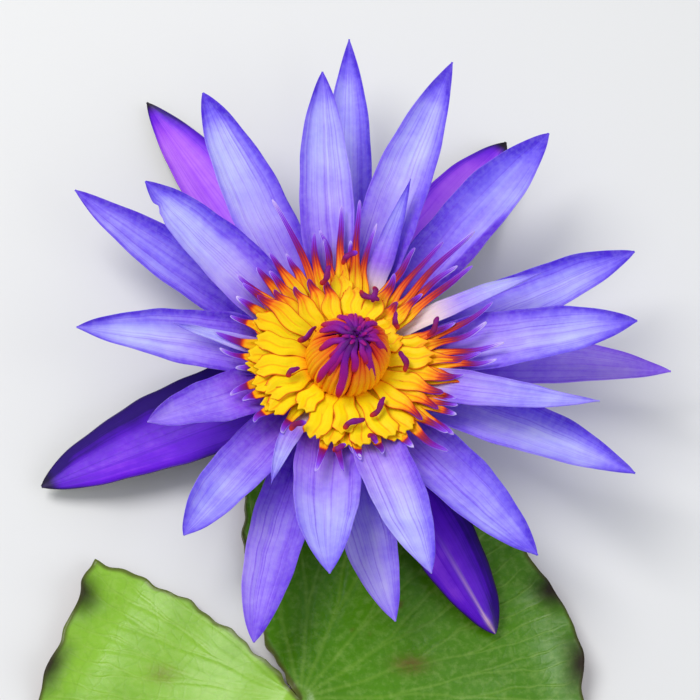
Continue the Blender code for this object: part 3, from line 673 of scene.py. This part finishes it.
def finger(pile, start, go, side, up, length, width, lift, swing, tone, seed, flat=0.55, tip=0.35, steps=14, dark=0.0):
    """The thin appendage beyond a stamen's blade. lift and swing are how far it has
    turned up and sideways by its tip, degrees."""
    s = np.linspace(0, 1, steps)
    go, side, up = (np.array(x, float) for x in (go, side, up))
    pts, sides, ups = [np.array(start, float)], [side], [up]
    for i in range(1, steps):
        f = (s[i] + s[i - 1]) / 2
        li, sw = math.radians(lift * f ** 1.2), math.radians(swing * f)
        d = go * math.cos(li) * math.cos(sw) + up * math.sin(li) + side * math.cos(li) * math.sin(sw)
        pts.append(pts[-1] + d * (length / (steps - 1)))
        u = up * math.cos(li) - go * math.sin(li)
        sides.append(side * math.cos(sw) - go * math.sin(sw))
        ups.append(u)
    path = np.array(pts)
    side_v, up_v = np.array(sides), np.array(ups)
    w = width * 0.5 * (1.0 - (1 - tip) * s ** 1.4)
    w[-1] *= 0.45
    w[-2] *= 0.82
    tones = np.interp(s, np.linspace(0, 1, len(tone)), tone)
    pile.tube(path, side_v, up_v, w, w * flat, along=s, across=0.0, tone=tones, groove=0.0, seed=seed * 1.3, dark=dark)
    return path[-1]


def warmth(heading):
    """1 where the stamens shade through orange and red, 0 where they stay yellow to the end."""
    h = (heading + 180) % 360 - 180
    return float(np.clip(smooth(-66, -24, h) * smooth(178, 128, h), 0, 1))


def near(heading, others, half):
    return any(abs((heading - g + 180) % 360 - 180) < half for g in others)


# how far out the clear yellow of the disc reaches, by heading
YELLOW = ((-183, 19.0), (-158, 19.0), (-144, 19.2), (-128, 18.4), (-105, 19.6), (-90, 18.4), (-76, 20.6), (-59, 20.8),
          (-34, 19.0), (-19, 19.2), (-3, 18.2), (12, 15.6), (33, 14.4), (60, 14.1), (78, 15.2), (93, 17.2), (110, 15.4),
          (123, 17.4), (146, 18.4), (164, 19.2), (177, 19.0))


def yellow(heading):
    h = (heading + 180) % 360 - 180
    return float(np.interp(h, [a for a, _ in YELLOW], [r for _, r in YELLOW]))


SHOWING = (70, 27, 238)       # headings where a narrow inner petal comes through the stamens
outer, middle = Pile(), Pile()

# longest, lowest stamens: heading, reach of the tip, swing of the appendage
LONG = (
    (111, 35.8, 8), (105, 27.0, -14), (98, 27.5, 10), (92, 31.8, -6), (87, 25.0, 6), (83, 33.0, 2), (78, 29.0, -8),
    (60, 27.0, -8), (53, 31.0, -8), (46, 36.4, -4), (42, 29.5, -8), (37, 31.5, -6), (15, 31.6, 10), (9, 29.2, 14), (2, 31.8, 2),
    (355, 30.4, 6), (347, 26.4, 16), (336, 24.0, 6), (328, 25.8, 10), (320, 28.2, -4), (311, 30.0, 6), (302, 24.5, 8),
    (289, 22.8, -6), (278, 23.2, 8), (266, 25.6, 14), (259, 26.6, -4), (217, 23.4, 22),
    (206, 22.6, 16), (199, 24.6, 26), (180, 25.0, -16), (171, 26.0, -5), (160, 24.2, 8), (150, 25.0, -6),
    (142, 27.4, -4), (133, 25.8, -6), (124, 26.6, 6), (117, 25.0, 4),
)
for k, (h, reach, swing) in enumerate(LONG):
    rng = random.Random(100 + k)
    warm = warmth(h)
    y = yellow(h)
    body = y + (2.6 + 1.6 * rng.random()) * warm + 0.6 * (1 - warm)
    stamen(outer, h, 7.3, 14.5 + 0.3 * (k % 2), min(body, reach - 3.0), reach, 2.9 + 0.8 * rng.random(), 1.45 + 0.35 * rng.random(),
           15.0, 17.0, rng.uniform(-3, 3), swing, rng.uniform(2, 12), rng.uniform(-10, 10), warm, 300 + k, pale=rng.uniform(-0.06, 0.12))

# a second set between them, shorter, ending in horns where the flower is warm
count = 25
for k in range(count):
    rng = random.Random(700 + k)
    h = 360.0 / count * k + rng.uniform(-2.5, 2.5)
    if near(h, SHOWING, 6.0):
        continue
    warm, y = warmth(h), yellow(h)
    if warm > 0.35 and rng.random() < 0.8:
        stamen(outer, h, 7.4, 15.2, y + rng.uniform(0.6, 2.4), y + rng.uniform(5.0, 10.0), rng.uniform(3.3, 4.1), rng.uniform(1.5, 2.0),
               15.5, 15.0, rng.uniform(-3, 3), rng.uniform(-14, 14), rng.uniform(0, 16), rng.uniform(-7, 7), warm, 720 + k)
    else:
        if k % 2:
            stamen(outer, h, 7.4, 15.1, y + rng.uniform(-0.2, 0.8), 0, rng.uniform(3.6, 4.4), 1, 15.5, 15.0,
                   rng.uniform(-3, 3), 0, 0, rng.uniform(-4, 6), 0.55 * warm, 720 + k, lobes=rng.uniform(0.4, 0.7))
        if k % 3 == 1:
            stamen(outer, h + rng.uniform(-4, 4), 9.0, 14.9, y - 1.6, y + rng.uniform(2.0, 4.6), 2.6, rng.uniform(1.2, 1.7), 15.5, 15.0,
                   0, rng.uniform(-30, 30), rng.uniform(0, 34), rng.uniform(-10, 10), 0.0, 760 + k, pale=rng.uniform(-0.08, 0.10))

# broad blades of the disc, laid over one another; they run from the heart to its edge
for count, first, z0, back, width in ((17, 8.0, 15.9, (-0.5, 0.7), (4.3, 5.0)), (17, -2.5, 16.6, (0.2, 2.4), (4.3, 5.2))):
    for k in range(count):
        rng = random.Random(900 + 31 * count + k)
        h = 360.0 / count * k + first + rng.uniform(-2.5, 2.5)
        warm, y = warmth(h), yellow(h)
        end = y - rng.uniform(*back)
        if near(h, SHOWING[1:2], 9.5):
            end = rng.uniform(11.6, 12.6)
        elif near(h, SHOWING, 7.5):
            end = rng.uniform(13.4, 14.4)
        if warm > 0.5 and end > 13 and rng.random() < 0.6:
            stamen(middle, h, 7.5, z0 + 0.25 * (k % 2), end, end + rng.uniform(2.2, 4.2), rng.uniform(*width) * 0.9, rng.uniform(1.7, 2.3),
                   15.5, 13.5, rng.uniform(-4, 4), rng.uniform(-8, 8), 4, rng.uniform(-5, 5), 0.85, 920 + 40 * count + k, pale=-0.22)
        else:
            stamen(middle, h, 7.5, z0 + 0.25 * (k % 2), end, 0, rng.uniform(*width), 1, 15.5, 13.0 if z0 > 16 else 14.5,
                   rng.uniform(-4, 4), 0, 0, rng.uniform(-6, 6), 0.45 * warm, 920 + 40 * count + k, lobes=rng.uniform(0.35, 0.75))

# small purple appendages that curl back over the yellow: outer end and inner end,
# each a heading and a radius; arch is how high the middle stands
CURLS = (
    (161, 9.9, 133, 7.9, 0.6), (205, 12.3, 196, 9.6, 0.5), (342, 12.4, 3, 11.5, 0.5), (27, 12.2, 42, 13.2, 0.6),
    (77, 14.2, 59, 13.0, 0.4), (68, 15.6, 62, 12.6, 0.5), (290, 14.6, 310, 12.9, 0.5), (270, 16.8, 285, 14.8, 0.5),
    (108, 15.8, 98, 18.6, 0.6), (91, 19.0, 84, 21.8, 0.6), (12, 16.8, 20, 20.2, 0.5), (239, 20.4, 243, 17.0, 0.6),
    (264, 21.7, 271, 20.8, 0.5), (284, 18.9, 288, 21.2, 0.5),
)
for k, (h0, r0, h1, r1, arch) in enumerate(CURLS):
    rng = random.Random(1290 + k)
    s = np.linspace(0, 1, 17)
    a0, a1 = math.radians(h0), math.radians(h1)
    p0 = np.array([r0 * math.cos(a0), r0 * math.sin(a0)])
    p1 = np.array([r1 * math.cos(a1), r1 * math.sin(a1)])
    flat = p0[None, :] * (1 - s)[:, None] + p1[None, :] * s[:, None]
    perp = np.array([-(p1 - p0)[1], (p1 - p0)[0]]) * (0.13 if k % 2 else -0.15)
    flat = flat + perp[None, :] * (np.sin(s * math.pi * 1.5) * (1 - 0.4 * s))[:, None]
    r = np.hypot(flat[:, 0], flat[:, 1])
    bed = 17.4 + (r - 7.3) * 0.235
    z = bed + 0.55 + arch * np.sin(s * math.pi) + 0.35 * s
    path = np.column_stack([flat, z])
    tan = path_frame(path)
    side = np.cross(np.array([0.0, 0.0, 1.0]), tan)
    side /= np.linalg.norm(side, axis=1)[:, None]
    up = np.cross(tan, side)
    turn = rng.uniform(-0.5, 0.5) + rng.uniform(-0.9, 0.9) * s
    side, up = side * np.cos(turn)[:, None] + up * np.sin(turn)[:, None], up * np.cos(turn)[:, None] - side * np.sin(turn)[:, None]
    w = 0.58 * np.interp(s, [0, 0.05, 0.2, 0.5, 0.8, 0.95, 1], [0.45, 0.85, 1.0, 1.05, 0.95, 0.7, 0.35]) * (1 + 0.10 * np.sin(s * 13 + k))
    tones = np.interp(s, [0, 0.12, 0.3, 0.7, 1.0], [0.45, 0.52, 0.60, 0.63, 0.58 if r0 < 18 else 0.86])
    middle.tube(path, side, up, w, w * 0.55, along=s, across=0.0, tone=tones, groove=0.0, seed=1300.0 + k, dark=0.0 + 0.06 * (r0 < 18))

outer.make("stamens_outer_ring", STAMEN, "stamens", "stamens_outer", offset=AXIS + HEART)
middle.make("stamens_disc", STAMEN, "stamens", "stamens_middle", offset=AXIS + HEART)

# inner stamens: bent in over the stigma, their purple tips meeting off to one side
cone = Pile()
FOOT_AT, PEAK_AT = np.array([-0.1, -0.7]), np.array([2.5, 0.2])
PROFILE_R = (7.0, 7.9, 8.15, 7.7, 6.3, 4.3, 2.3, 1.0)
PROFILE_Z = (15.6, 17.2, 19.2, 21.6, 24.0, 25.9, 27.0, 27.3)


def on_dome(u, heading, proud=0.0):
    """A point of the dome, u from its foot (0) to its peak (1)."""
    k = np.asarray(u) * (len(PROFILE_R) - 1)
    i = np.arange(len(PROFILE_R))
    r = np.interp(k, i, PROFILE_R) + proud
    z = np.interp(k, i, PROFILE_Z) + proud * 0.6
    f = np.clip((z - PROFILE_Z[0]) / (PROFILE_Z[-1] - PROFILE_Z[0]), 0, 1)[:, None]
    c = FOOT_AT * (1 - f) + PEAK_AT * f
    a = np.radians(heading)
    return np.column_stack([c + np.column_stack([r * np.cos(a), r * np.sin(a)]), z])


count = 20
for k in range(count):
    rng = random.Random(1500 + k)
    h0 = 360.0 / count * k + 8 + rng.uniform(-3, 3)
    drift = rng.uniform(-7, 7)
    end = rng.uniform(0.76, 0.92)
    n, m = 24, 11
    u = np.linspace(0, end, n)
    s = np.linspace(0, 1, n)
    heads = h0 + drift * s
    line = on_dome(u, heads, proud=0.14 * (k % 2))
    tan = path_frame(line)
    side = np.column_stack([-np.sin(np.radians(heads)), np.cos(np.radians(heads)), 0 * s])
    up = np.cross(tan, side)
    up *= np.sign(np.sum(up * np.column_stack([np.cos(np.radians(heads)), np.sin(np.radians(heads)), 0.3 + 0 * s]), axis=1))[:, None]
    v = np.linspace(-1, 1, m)
    S, V = np.meshgrid(s, v, indexing="ij")
    wide = (1.20 + 0.25 * np.sin(s * math.pi)) * (1.0 - 0.55 * smooth(0.55, 1.0, s)) * rng.uniform(0.92, 1.15)
    z = -0.34 * V * V + 0.16 * np.cos(V * math.pi * 2 + math.pi)
    top = line[:, None, :] + side[:, None, :] * (wide[:, None] * V)[:, :, None] + up[:, None, :] * z[:, :, None]
    bottom = top - up[:, None, :] * (0.5 * (1 - 0.7 * V * V) + 0.06)[:, :, None]
    tone = 0.08 + 0.42 * smooth(0.40, 1.0, S) + 0.26 * smooth(0.18, 0.0, S) + 0.10 * V * V
    # painted shade in the middle groove and along the edges, where the next stamen lies close
    groove = bell(V, 0.0, 0.13) * 0.6 + smooth(0.74, 1.0, np.abs(V)) * 0.9
    cone.sheet(top, bottom, along=S, across=V, tone=tone, groove=groove, seed=1510.0 + k, dark=0.0)


def dome_height(x, y):
    """Height of the dome's skin above a point, found by walking down from its peak."""
    for u in np.linspace(1.0, 0.25, 120):
        k = u * (len(PROFILE_R) - 1)
        r, z = np.interp(k, range(len(PROFILE_R)), PROFILE_R), np.interp(k, range(len(PROFILE_R)), PROFILE_Z)
        f = np.clip((z - PROFILE_Z[0]) / (PROFILE_Z[-1] - PROFILE_Z[0]), 0, 1)
        c = FOOT_AT * (1 - f) + PEAK_AT * f
        if math.hypot(x - c[0], y - c[1]) <= r:
            return float(z)
    return 20.0


# the purple appendages: outer end and inner end in plan; one ends at a time nearer
# the peak, so they read as a tuft
TIPS = (
    (-4.6, 5.8, 0.1, 2.2, 1.0), (-1.2, 7.0, 1.1, 2.6, 0.9), (-4.9, 3.4, 0.5, 1.1, 1.0), (-5.0, -1.2, 0.7, -0.3, 0.95),
    (-5.4, -6.8, -1.0, -2.8, 1.05), (-3.2, -6.2, 0.1, -2.2, 0.9), (-1.3, -10.0, 0.6, -3.4, 1.1), (1.9, -6.4, 2.2, -2.0, 0.95),
    (4.3, -5.0, 3.4, -1.6, 0.85), (5.8, -6.6, 4.2, -1.6, 1.0), (8.4, -1.4, 4.2, 0.9, 0.95), (6.3, 4.7, 3.8, 1.3, 0.9),
    (1.2, 6.4, 1.9, 2.4, 0.85), (-2.9, -3.4, 0.9, -1.0, 0.85), (6.9, 1.6, 4.0, 1.0, 0.8), (3.1, 5.2, 2.7, 1.9, 0.8),
)
for k, (xo, yo, xi, yi, wide) in enumerate(TIPS):
    rng = random.Random(1600 + k)
    f = np.linspace(0, 1, 22)
    xm, ym = 0.62 * PEAK_AT + 0.38 * np.array([xi, yi])
    knots = np.array([[xo, yo, dome_height(xo, yo) + 0.30], [0.5 * (xo + xi), 0.5 * (yo + yi), 0.0], [xi, yi, 26.9], [xm, ym, 27.6]])
    knots[1, 2] = dome_height(knots[1, 0], knots[1, 1]) + 0.75
    at = np.array([0.0, 0.42, 0.84, 1.0])
    path = np.column_stack([np.interp(f, at, knots[:, i]) for i in range(3)])
    for _ in range(12):                      # relax the corners of the path
        path[1:-1] = 0.25 * path[:-2] + 0.5 * path[1:-1] + 0.25 * path[2:]
    tan = path_frame(path)
    side = np.cross(tan, np.array([0.0, 0.0, 1.0]))
    side /= np.maximum(np.linalg.norm(side, axis=1), 1e-6)[:, None]
    path = path + side * (0.30 * np.sin(f * 6 + k) * np.sin(f * math.pi))[:, None]
    up = np.cross(side, tan)
    w = 0.78 * wide * np.interp(f, [0, 0.05, 0.2, 0.6, 0.9, 1], [0.30, 0.72, 1.0, 0.92, 0.66, 0.40]) * (1 + 0.06 * np.sin(f * 17 + k))
    tones = np.interp(f, [0, 0.06, 0.18, 0.55, 0.8, 1], [0.50, 0.56, 0.66, 0.78, 0.90, 1.0]) + rng.uniform(-0.03, 0.05)
    cone.tube(path, side, up, w, w * 0.60, rings=12, along=f, across=0.0, tone=np.clip(tones, 0, 1), groove=0.0, seed=1600.0 + k, dark=0.0)

# a few short ones stand up in the middle of the tuft
for k, (h, l, tilt) in enumerate(((95, 4.4, 66), (60, 3.2, 50), (345, 4.4, 72), (190, 3.0, 52), (240, 2.8, 45), (300, 3.2, 50),
                                  (0, 2.4, 30), (75, 2.2, 26), (215, 2.0, 24), (140, 3.0, 58), (20, 3.4, 60))):
    rng = random.Random(1700 + k)
    a = math.radians(h)
    out = np.array([math.cos(a), math.sin(a), 0.0])
    go = out * math.sin(math.radians(tilt)) + np.array([0, 0, math.cos(math.radians(tilt))])
    side = np.array([-math.sin(a), math.cos(a), 0.0])
    up = np.cross(go, side)
    if up[2] < 0:
        up = -up
    start = np.array([PEAK_AT[0], PEAK_AT[1], 26.6]) + out * 0.4
    finger(cone, start, go, side, up, l, 1.15, -20, rng.uniform(-16, 16), (1.0, 0.94, 0.84, 0.74, 0.66), 1720 + k, flat=0.6, tip=0.5)
cone.make("stamens_cone", CONE, "stamen_tips", "stamens_inner", offset=AXIS + HEART)


# ------------------------------------------------------------------ turned pieces
def turned(name, mat, slot, node, profile, centre, around=72, rays=0, ray_depth=0.0, cut=False):
    """A body of revolution with a little relief. The profile runs from the axis at the
    bottom to the axis at the top."""
    r = np.array([p[0] for p in profile], float)
    z = np.array([p[1] for p in profile], float)
    t = np.arange(len(r))
    fine = np.linspace(0, len(r) - 1, (len(r) - 1) * 5 + 1)
    r, z = np.interp(fine, t, r), np.interp(fine, t, z)
    ph = np.linspace(0, 2 * math.pi, around, endpoint=False)
    R, P = np.meshgrid(r[1:-1], ph, indexing="ij")
    Z = np.repeat(z[1:-1][:, None], around, 1)
    ray = 0.5 + 0.5 * np.cos(P * rays) if rays else np.zeros_like(P)
    if rays:
        Z = Z + ray_depth * ray * (Z > z.mean()) * smooth(0.0, 2.0, R)
        R = R * (1.0 + 0.03 * (ray - 0.5))
    else:
        R = R * (1.0 + 0.018 * np.cos(P * 9) + 0.012 * np.cos(P * 5 + 1))
    n = len(R)
    co = np.stack([R * np.cos(P), R * np.sin(P), Z], -1).reshape(-1, 3)
    co = np.concatenate([co, [[0, 0, z[0]], [0, 0, z[-1]]]])
    f = []
    for i in range(n - 1):
        for j in range(around):
            k = (j + 1) % around
            f.append((i * around + j, i * around + k, (i + 1) * around + k, (i + 1) * around + j))
    for j in range(around):
        k = (j + 1) % around
        f.append((n * around, k, j))
        f.append((n * around + 1, (n - 1) * around + j, (n - 1) * around + k))
    ang = np.concatenate([P.reshape(-1), [0, 0]])
    rr = np.hypot(co[:, 0], co[:, 1])
    attrs = dict(ang=ang, rmm=rr, hmm=co[:, 2], ray=np.concatenate([ray.reshape(-1), [0, 0]]))
    if cut:
        low = (co[:, 2] < z[0] + 0.02).astype(float)
        attrs["cut"] = low
        attrs["canal"] = low * np.clip(bell(rr, r.max() * 0.5, r.max() * 0.22) * (np.cos(ang * 4) > 0.2), 0, 1)
    pile = Pile()
    pile.add(co, f, **attrs)
    return pile.make(name, mat, slot, node, offset=centre)


turned("flower_stalk", STALK, "stalk", "flower_stem",
       ((0, 0.02), (1.2, 0.02), (2.4, 0.02), (3.35, 0.02), (3.6, 0.35), (3.58, 2.2), (3.4, 4.3), (3.2, 4.6), (0, 4.6)), AXIS, cut=True)
turned("leaf_stalk", STALK, "stalk", "pad_petiole",
       ((0, 0.02), (1.0, 0.02), (2.0, 0.02), (2.7, 0.02), (2.9, 0.3), (2.85, 2.0), (3.0, 3.6), (3.3, 4.9), (0, 5.3)), APEX, cut=True)
turned("flower_base", CUP, "receptacle", "receptacle",
       ((0, 4.4), (3.2, 4.5), (5.6, 5.1), (8.2, 6.5), (8.75, 7.6), (8.3, 9.2), (7.9, 10.6), (7.3, 12.2), (6.8, 13.6), (4.0, 14.0), (0, 14.0)), AXIS)
turned("stigma", HEART_MAT, "stigma", "stigma_disc",
       ((0, 14.1), (5.0, 14.1), (6.2, 14.5), (6.5, 15.0), (5.6, 15.4), (3.0, 15.0), (1.2, 15.2), (0, 15.6)), AXIS + HEART,
       rays=20, ray_depth=0.35)

# ------------------------------------------------------------------ pad
PAD_THICK, PAD_DOME, PAD_DOME_SPREAD, PAD_EYE = 1.2, 5.6, 13.0, 2.6
SLIT_HEADING, SLIT_FLARE, SLIT_MIN = 123.0, 0.40, 3.0
PAD_RADII = (
    (105, 46.0), (98, 53.0), (88, 56.5), (62, 57.5), (33, 55.5), (16, 56.0),
    (0, 55.5), (-30, 57.0), (-62, 58.5), (-95, 58.0), (-125, 56.5), (-152, 54.0),
    (-176, 51.5), (-196, 49.5), (-208, 49.0), (-217, 51.0),
)
CURLED = ((-208, 4.5, 3.2), (-190, 5.5, 2.6), (27, 4.0, 1.6), (10, 6.0, 2.0), (-40, 7.0, 1.2), (-118, 6.0, 1.6))


def pad():
    around, rings = 560, 58
    t = np.linspace(0, 1, around)
    k = np.linspace(0, 1, rings) ** 0.92
    T, K = np.meshgrid(t, k, indexing="ij")
    look = SLIT_HEADING - 22.0 + 3.0 - T * (360.0 - 44.0 + 6.0)
    hs = np.array([h for h, _ in PAD_RADII][::-1], float)
    rs = np.array([r for _, r in PAD_RADII][::-1], float)
    i = np.clip(np.searchsorted(hs, look) - 1, 0, len(hs) - 2)
    f = np.clip((look - hs[i]) / (hs[i + 1] - hs[i]), 0, 1)
    f = f * f * (3 - 2 * f)
    reach = rs[i] * (1 - f) + rs[i + 1] * f
    inside = smooth(0.0, 0.012, T) * smooth(1.0, 0.988, T)
    reach = reach - inside * 0.75 * (0.5 + 0.5 * np.cos(2 * math.pi * 29 * T)) ** 1.5 \
        + inside * (0.30 * np.sin(T * 71 + 1.0) + 0.22 * np.sin(T * 163))
    r = PAD_EYE + (reach - PAD_EYE) * K
    r = np.where(K == 0, 0.02, r)
    half = np.maximum(SLIT_MIN, SLIT_FLARE * r)
    ruffle = 0.35 * np.sin(r * 0.55) + 0.2 * np.sin(r * 1.3 + 2)
    head = SLIT_HEADING - half - T * (360.0 - 2.0 * half) + np.degrees(ruffle / np.maximum(r, 6.0)) * (bell(T, 0, 0.01) + bell(T, 1, 0.01))
    a = np.radians(head)
    dome = PAD_DOME * np.exp(-((r / PAD_DOME_SPREAD) ** 2))
    edge = np.clip((r / reach - 0.80) / 0.20, 0, 1)
    wave = 0.5 + 0.5 * np.sin(np.radians(head) * 5.0 + 0.6)
    lift = 1.5 * wave * edge ** 2 + 0.35 * edge ** 2 * (1 + np.sin(np.radians(head) * 29 + 1.3))
    dark = np.zeros_like(r)
    for at, width, high in CURLED:
        here = bell(look, at, width)
        lift = lift + high * here * edge ** 3
        dark = dark + here * smooth(0.90, 0.99, r / reach)
    # slit edges stand up a little
    slit_side = np.minimum(T, 1 - T) * (360.0 - 2 * half) / 57.3 * r
    lift = lift + 0.5 * np.exp(-slit_side / 2.2) * smooth(6, 20, r)
    gap = 2 * math.pi / 23.0
    v0 = np.abs(np.mod(a / gap, 1.0) - 0.5)
    rad = r / reach
    v1 = np.abs(v0 - 0.25 * smooth(0.30, 0.62, rad))
    v2 = np.abs(v1 - 0.125 * smooth(0.58, 0.86, rad))
    dist = v2 * gap * r
    vein = np.exp(-((dist / 0.9) ** 2)) * smooth(1.0, 0.8, rad) * smooth(1.5, 6.0, r)
    x, y = r * np.cos(a), r * np.sin(a)
    swell = 0.30 * np.sin(x * 0.16 + 0.7) * np.cos(y * 0.13 - 0.4) + 0.16 * np.sin(x * 0.31 - y * 0.27 + 2.0)
    swell = (swell + 0.46) * smooth(8, 20, r)
    top = PAD_THICK + dome + lift + 0.6 * swell - 0.16 * vein + 0.05 * np.sin(dist * 2.2) * smooth(6, 18, r)
    thick = (PAD_THICK - 0.15) * (1 - 0.62 * smooth(0.86, 1.0, rad)) * (1 - 0.4 * np.exp(-slit_side / 0.8))
    low = np.maximum(top - thick - 0.6 * swell * (1 - edge) - 0.55 * vein, 0.02)
    upper = np.stack([x, y, top], -1)
    lower = np.stack([x * (1 + 0.0 * r), y, low], -1)
    rim = np.minimum((reach - r), slit_side)
    lobe = smooth(-120, -190, look) * 0.95 + 0.18 * smooth(20, -60, look) + 0.10
    dx, dy = x - 21.5, y - 9.0
    spot = 0.75 * np.exp(-((dx / 3.4) ** 2 + (dy / 1.9) ** 2)) + 0.45 * np.exp(-(((x + 27) / 3.0) ** 2 + ((y - 7) / 2.0) ** 2)) \
        + 0.5 * np.exp(-(((x - 6) / 2.4) ** 2 + ((y + 33) / 3.4) ** 2)) + 0.5 * np.exp(-(((x + 30) / 2.6) ** 2 + ((y + 24) / 1.8) ** 2))
    pile = Pile()
    pile.sheet(upper[::-1], lower[::-1], **{k: (v[::-1] if isinstance(v, np.ndarray) else v) for k, v in dict(
        ang=a, rmm=r, rad=rad, edge=rim, dark=np.clip(dark, 0, 1), lobe=lobe, spot=spot).items()}, under=(0.0, 1.0))
    return pile.make("pad_leaf", PAD, "pad", "pad_blade", offset=APEX)


pad()

# ------------------------------------------------------------------ floor, light, camera
mesh = bpy.data.meshes.new("floor")
mesh.from_pydata([(-2, -2, 0), (2, -2, 0), (2, 2, 0), (-2, 2, 0)], [], [(0, 1, 2, 3)])
floor = bpy.data.objects.new("floor", mesh)
fm = bpy.data.materials.new("floor_paint")
fm.use_nodes = True
fs = fm.node_tree.nodes["Principled BSDF"]
fs.inputs["Base Color"].default_value = (0.78, 0.785, 0.79, 1)
fs.inputs["Roughness"].default_value = 0.9
fs.inputs["Specular IOR Level"].default_value = 0.1
mesh.materials.append(fm)
bpy.context.scene.collection.objects.link(floor)

world = bpy.data.worlds.new("studio")
world.use_nodes = True
world.node_tree.nodes["Background"].inputs[0].default_value = (0.95, 0.97, 1.0, 1)
world.node_tree.nodes["Background"].inputs[1].default_value = 0.50
bpy.context.scene.world = world


def area(name, place, aim, size, power, colour=(1, 1, 1)):
    data = bpy.data.lights.new(name, "AREA")
    data.shape = "DISK"
    data.size = size
    data.energy = power
    data.color = colour
    obj = bpy.data.objects.new(name, data)
    obj.location = place
    obj.rotation_euler = (Vector(aim) - Vector(place)).to_track_quat("-Z", "Y").to_euler()
    bpy.context.scene.collection.objects.link(obj)


area("key", (-0.32, 0.22, 0.62), (0, 0.02, 0.01), 0.46, 3.3, (1.0, 0.985, 0.96))
area("fill", (0.50, -0.25, 0.42), (0, 0, 0.01), 0.55, 1.2, (0.94, 0.97, 1.0))

EL, DIST = math.radians(65.0), 0.600
target = Vector(((AXIS[0] + 1.6) * MM, (AXIS[1] + 1.27) * MM, 15.6 * MM))
fwd = Vector((0, math.cos(EL), -math.sin(EL)))
cam_data = bpy.data.cameras.new("camera")
cam_data.sensor_width = 36.0
cam_data.lens = 3000.0 * 36.0 / 700.0
cam_data.clip_start = 0.01
cam = bpy.data.objects.new("camera", cam_data)
cam.location = target - fwd * DIST
cam.rotation_euler = fwd.to_track_quat("-Z", "Y").to_euler()
bpy.context.scene.collection.objects.link(cam)
bpy.context.scene.camera = cam
bpy.context.scene.view_settings.view_transform = "Standard"
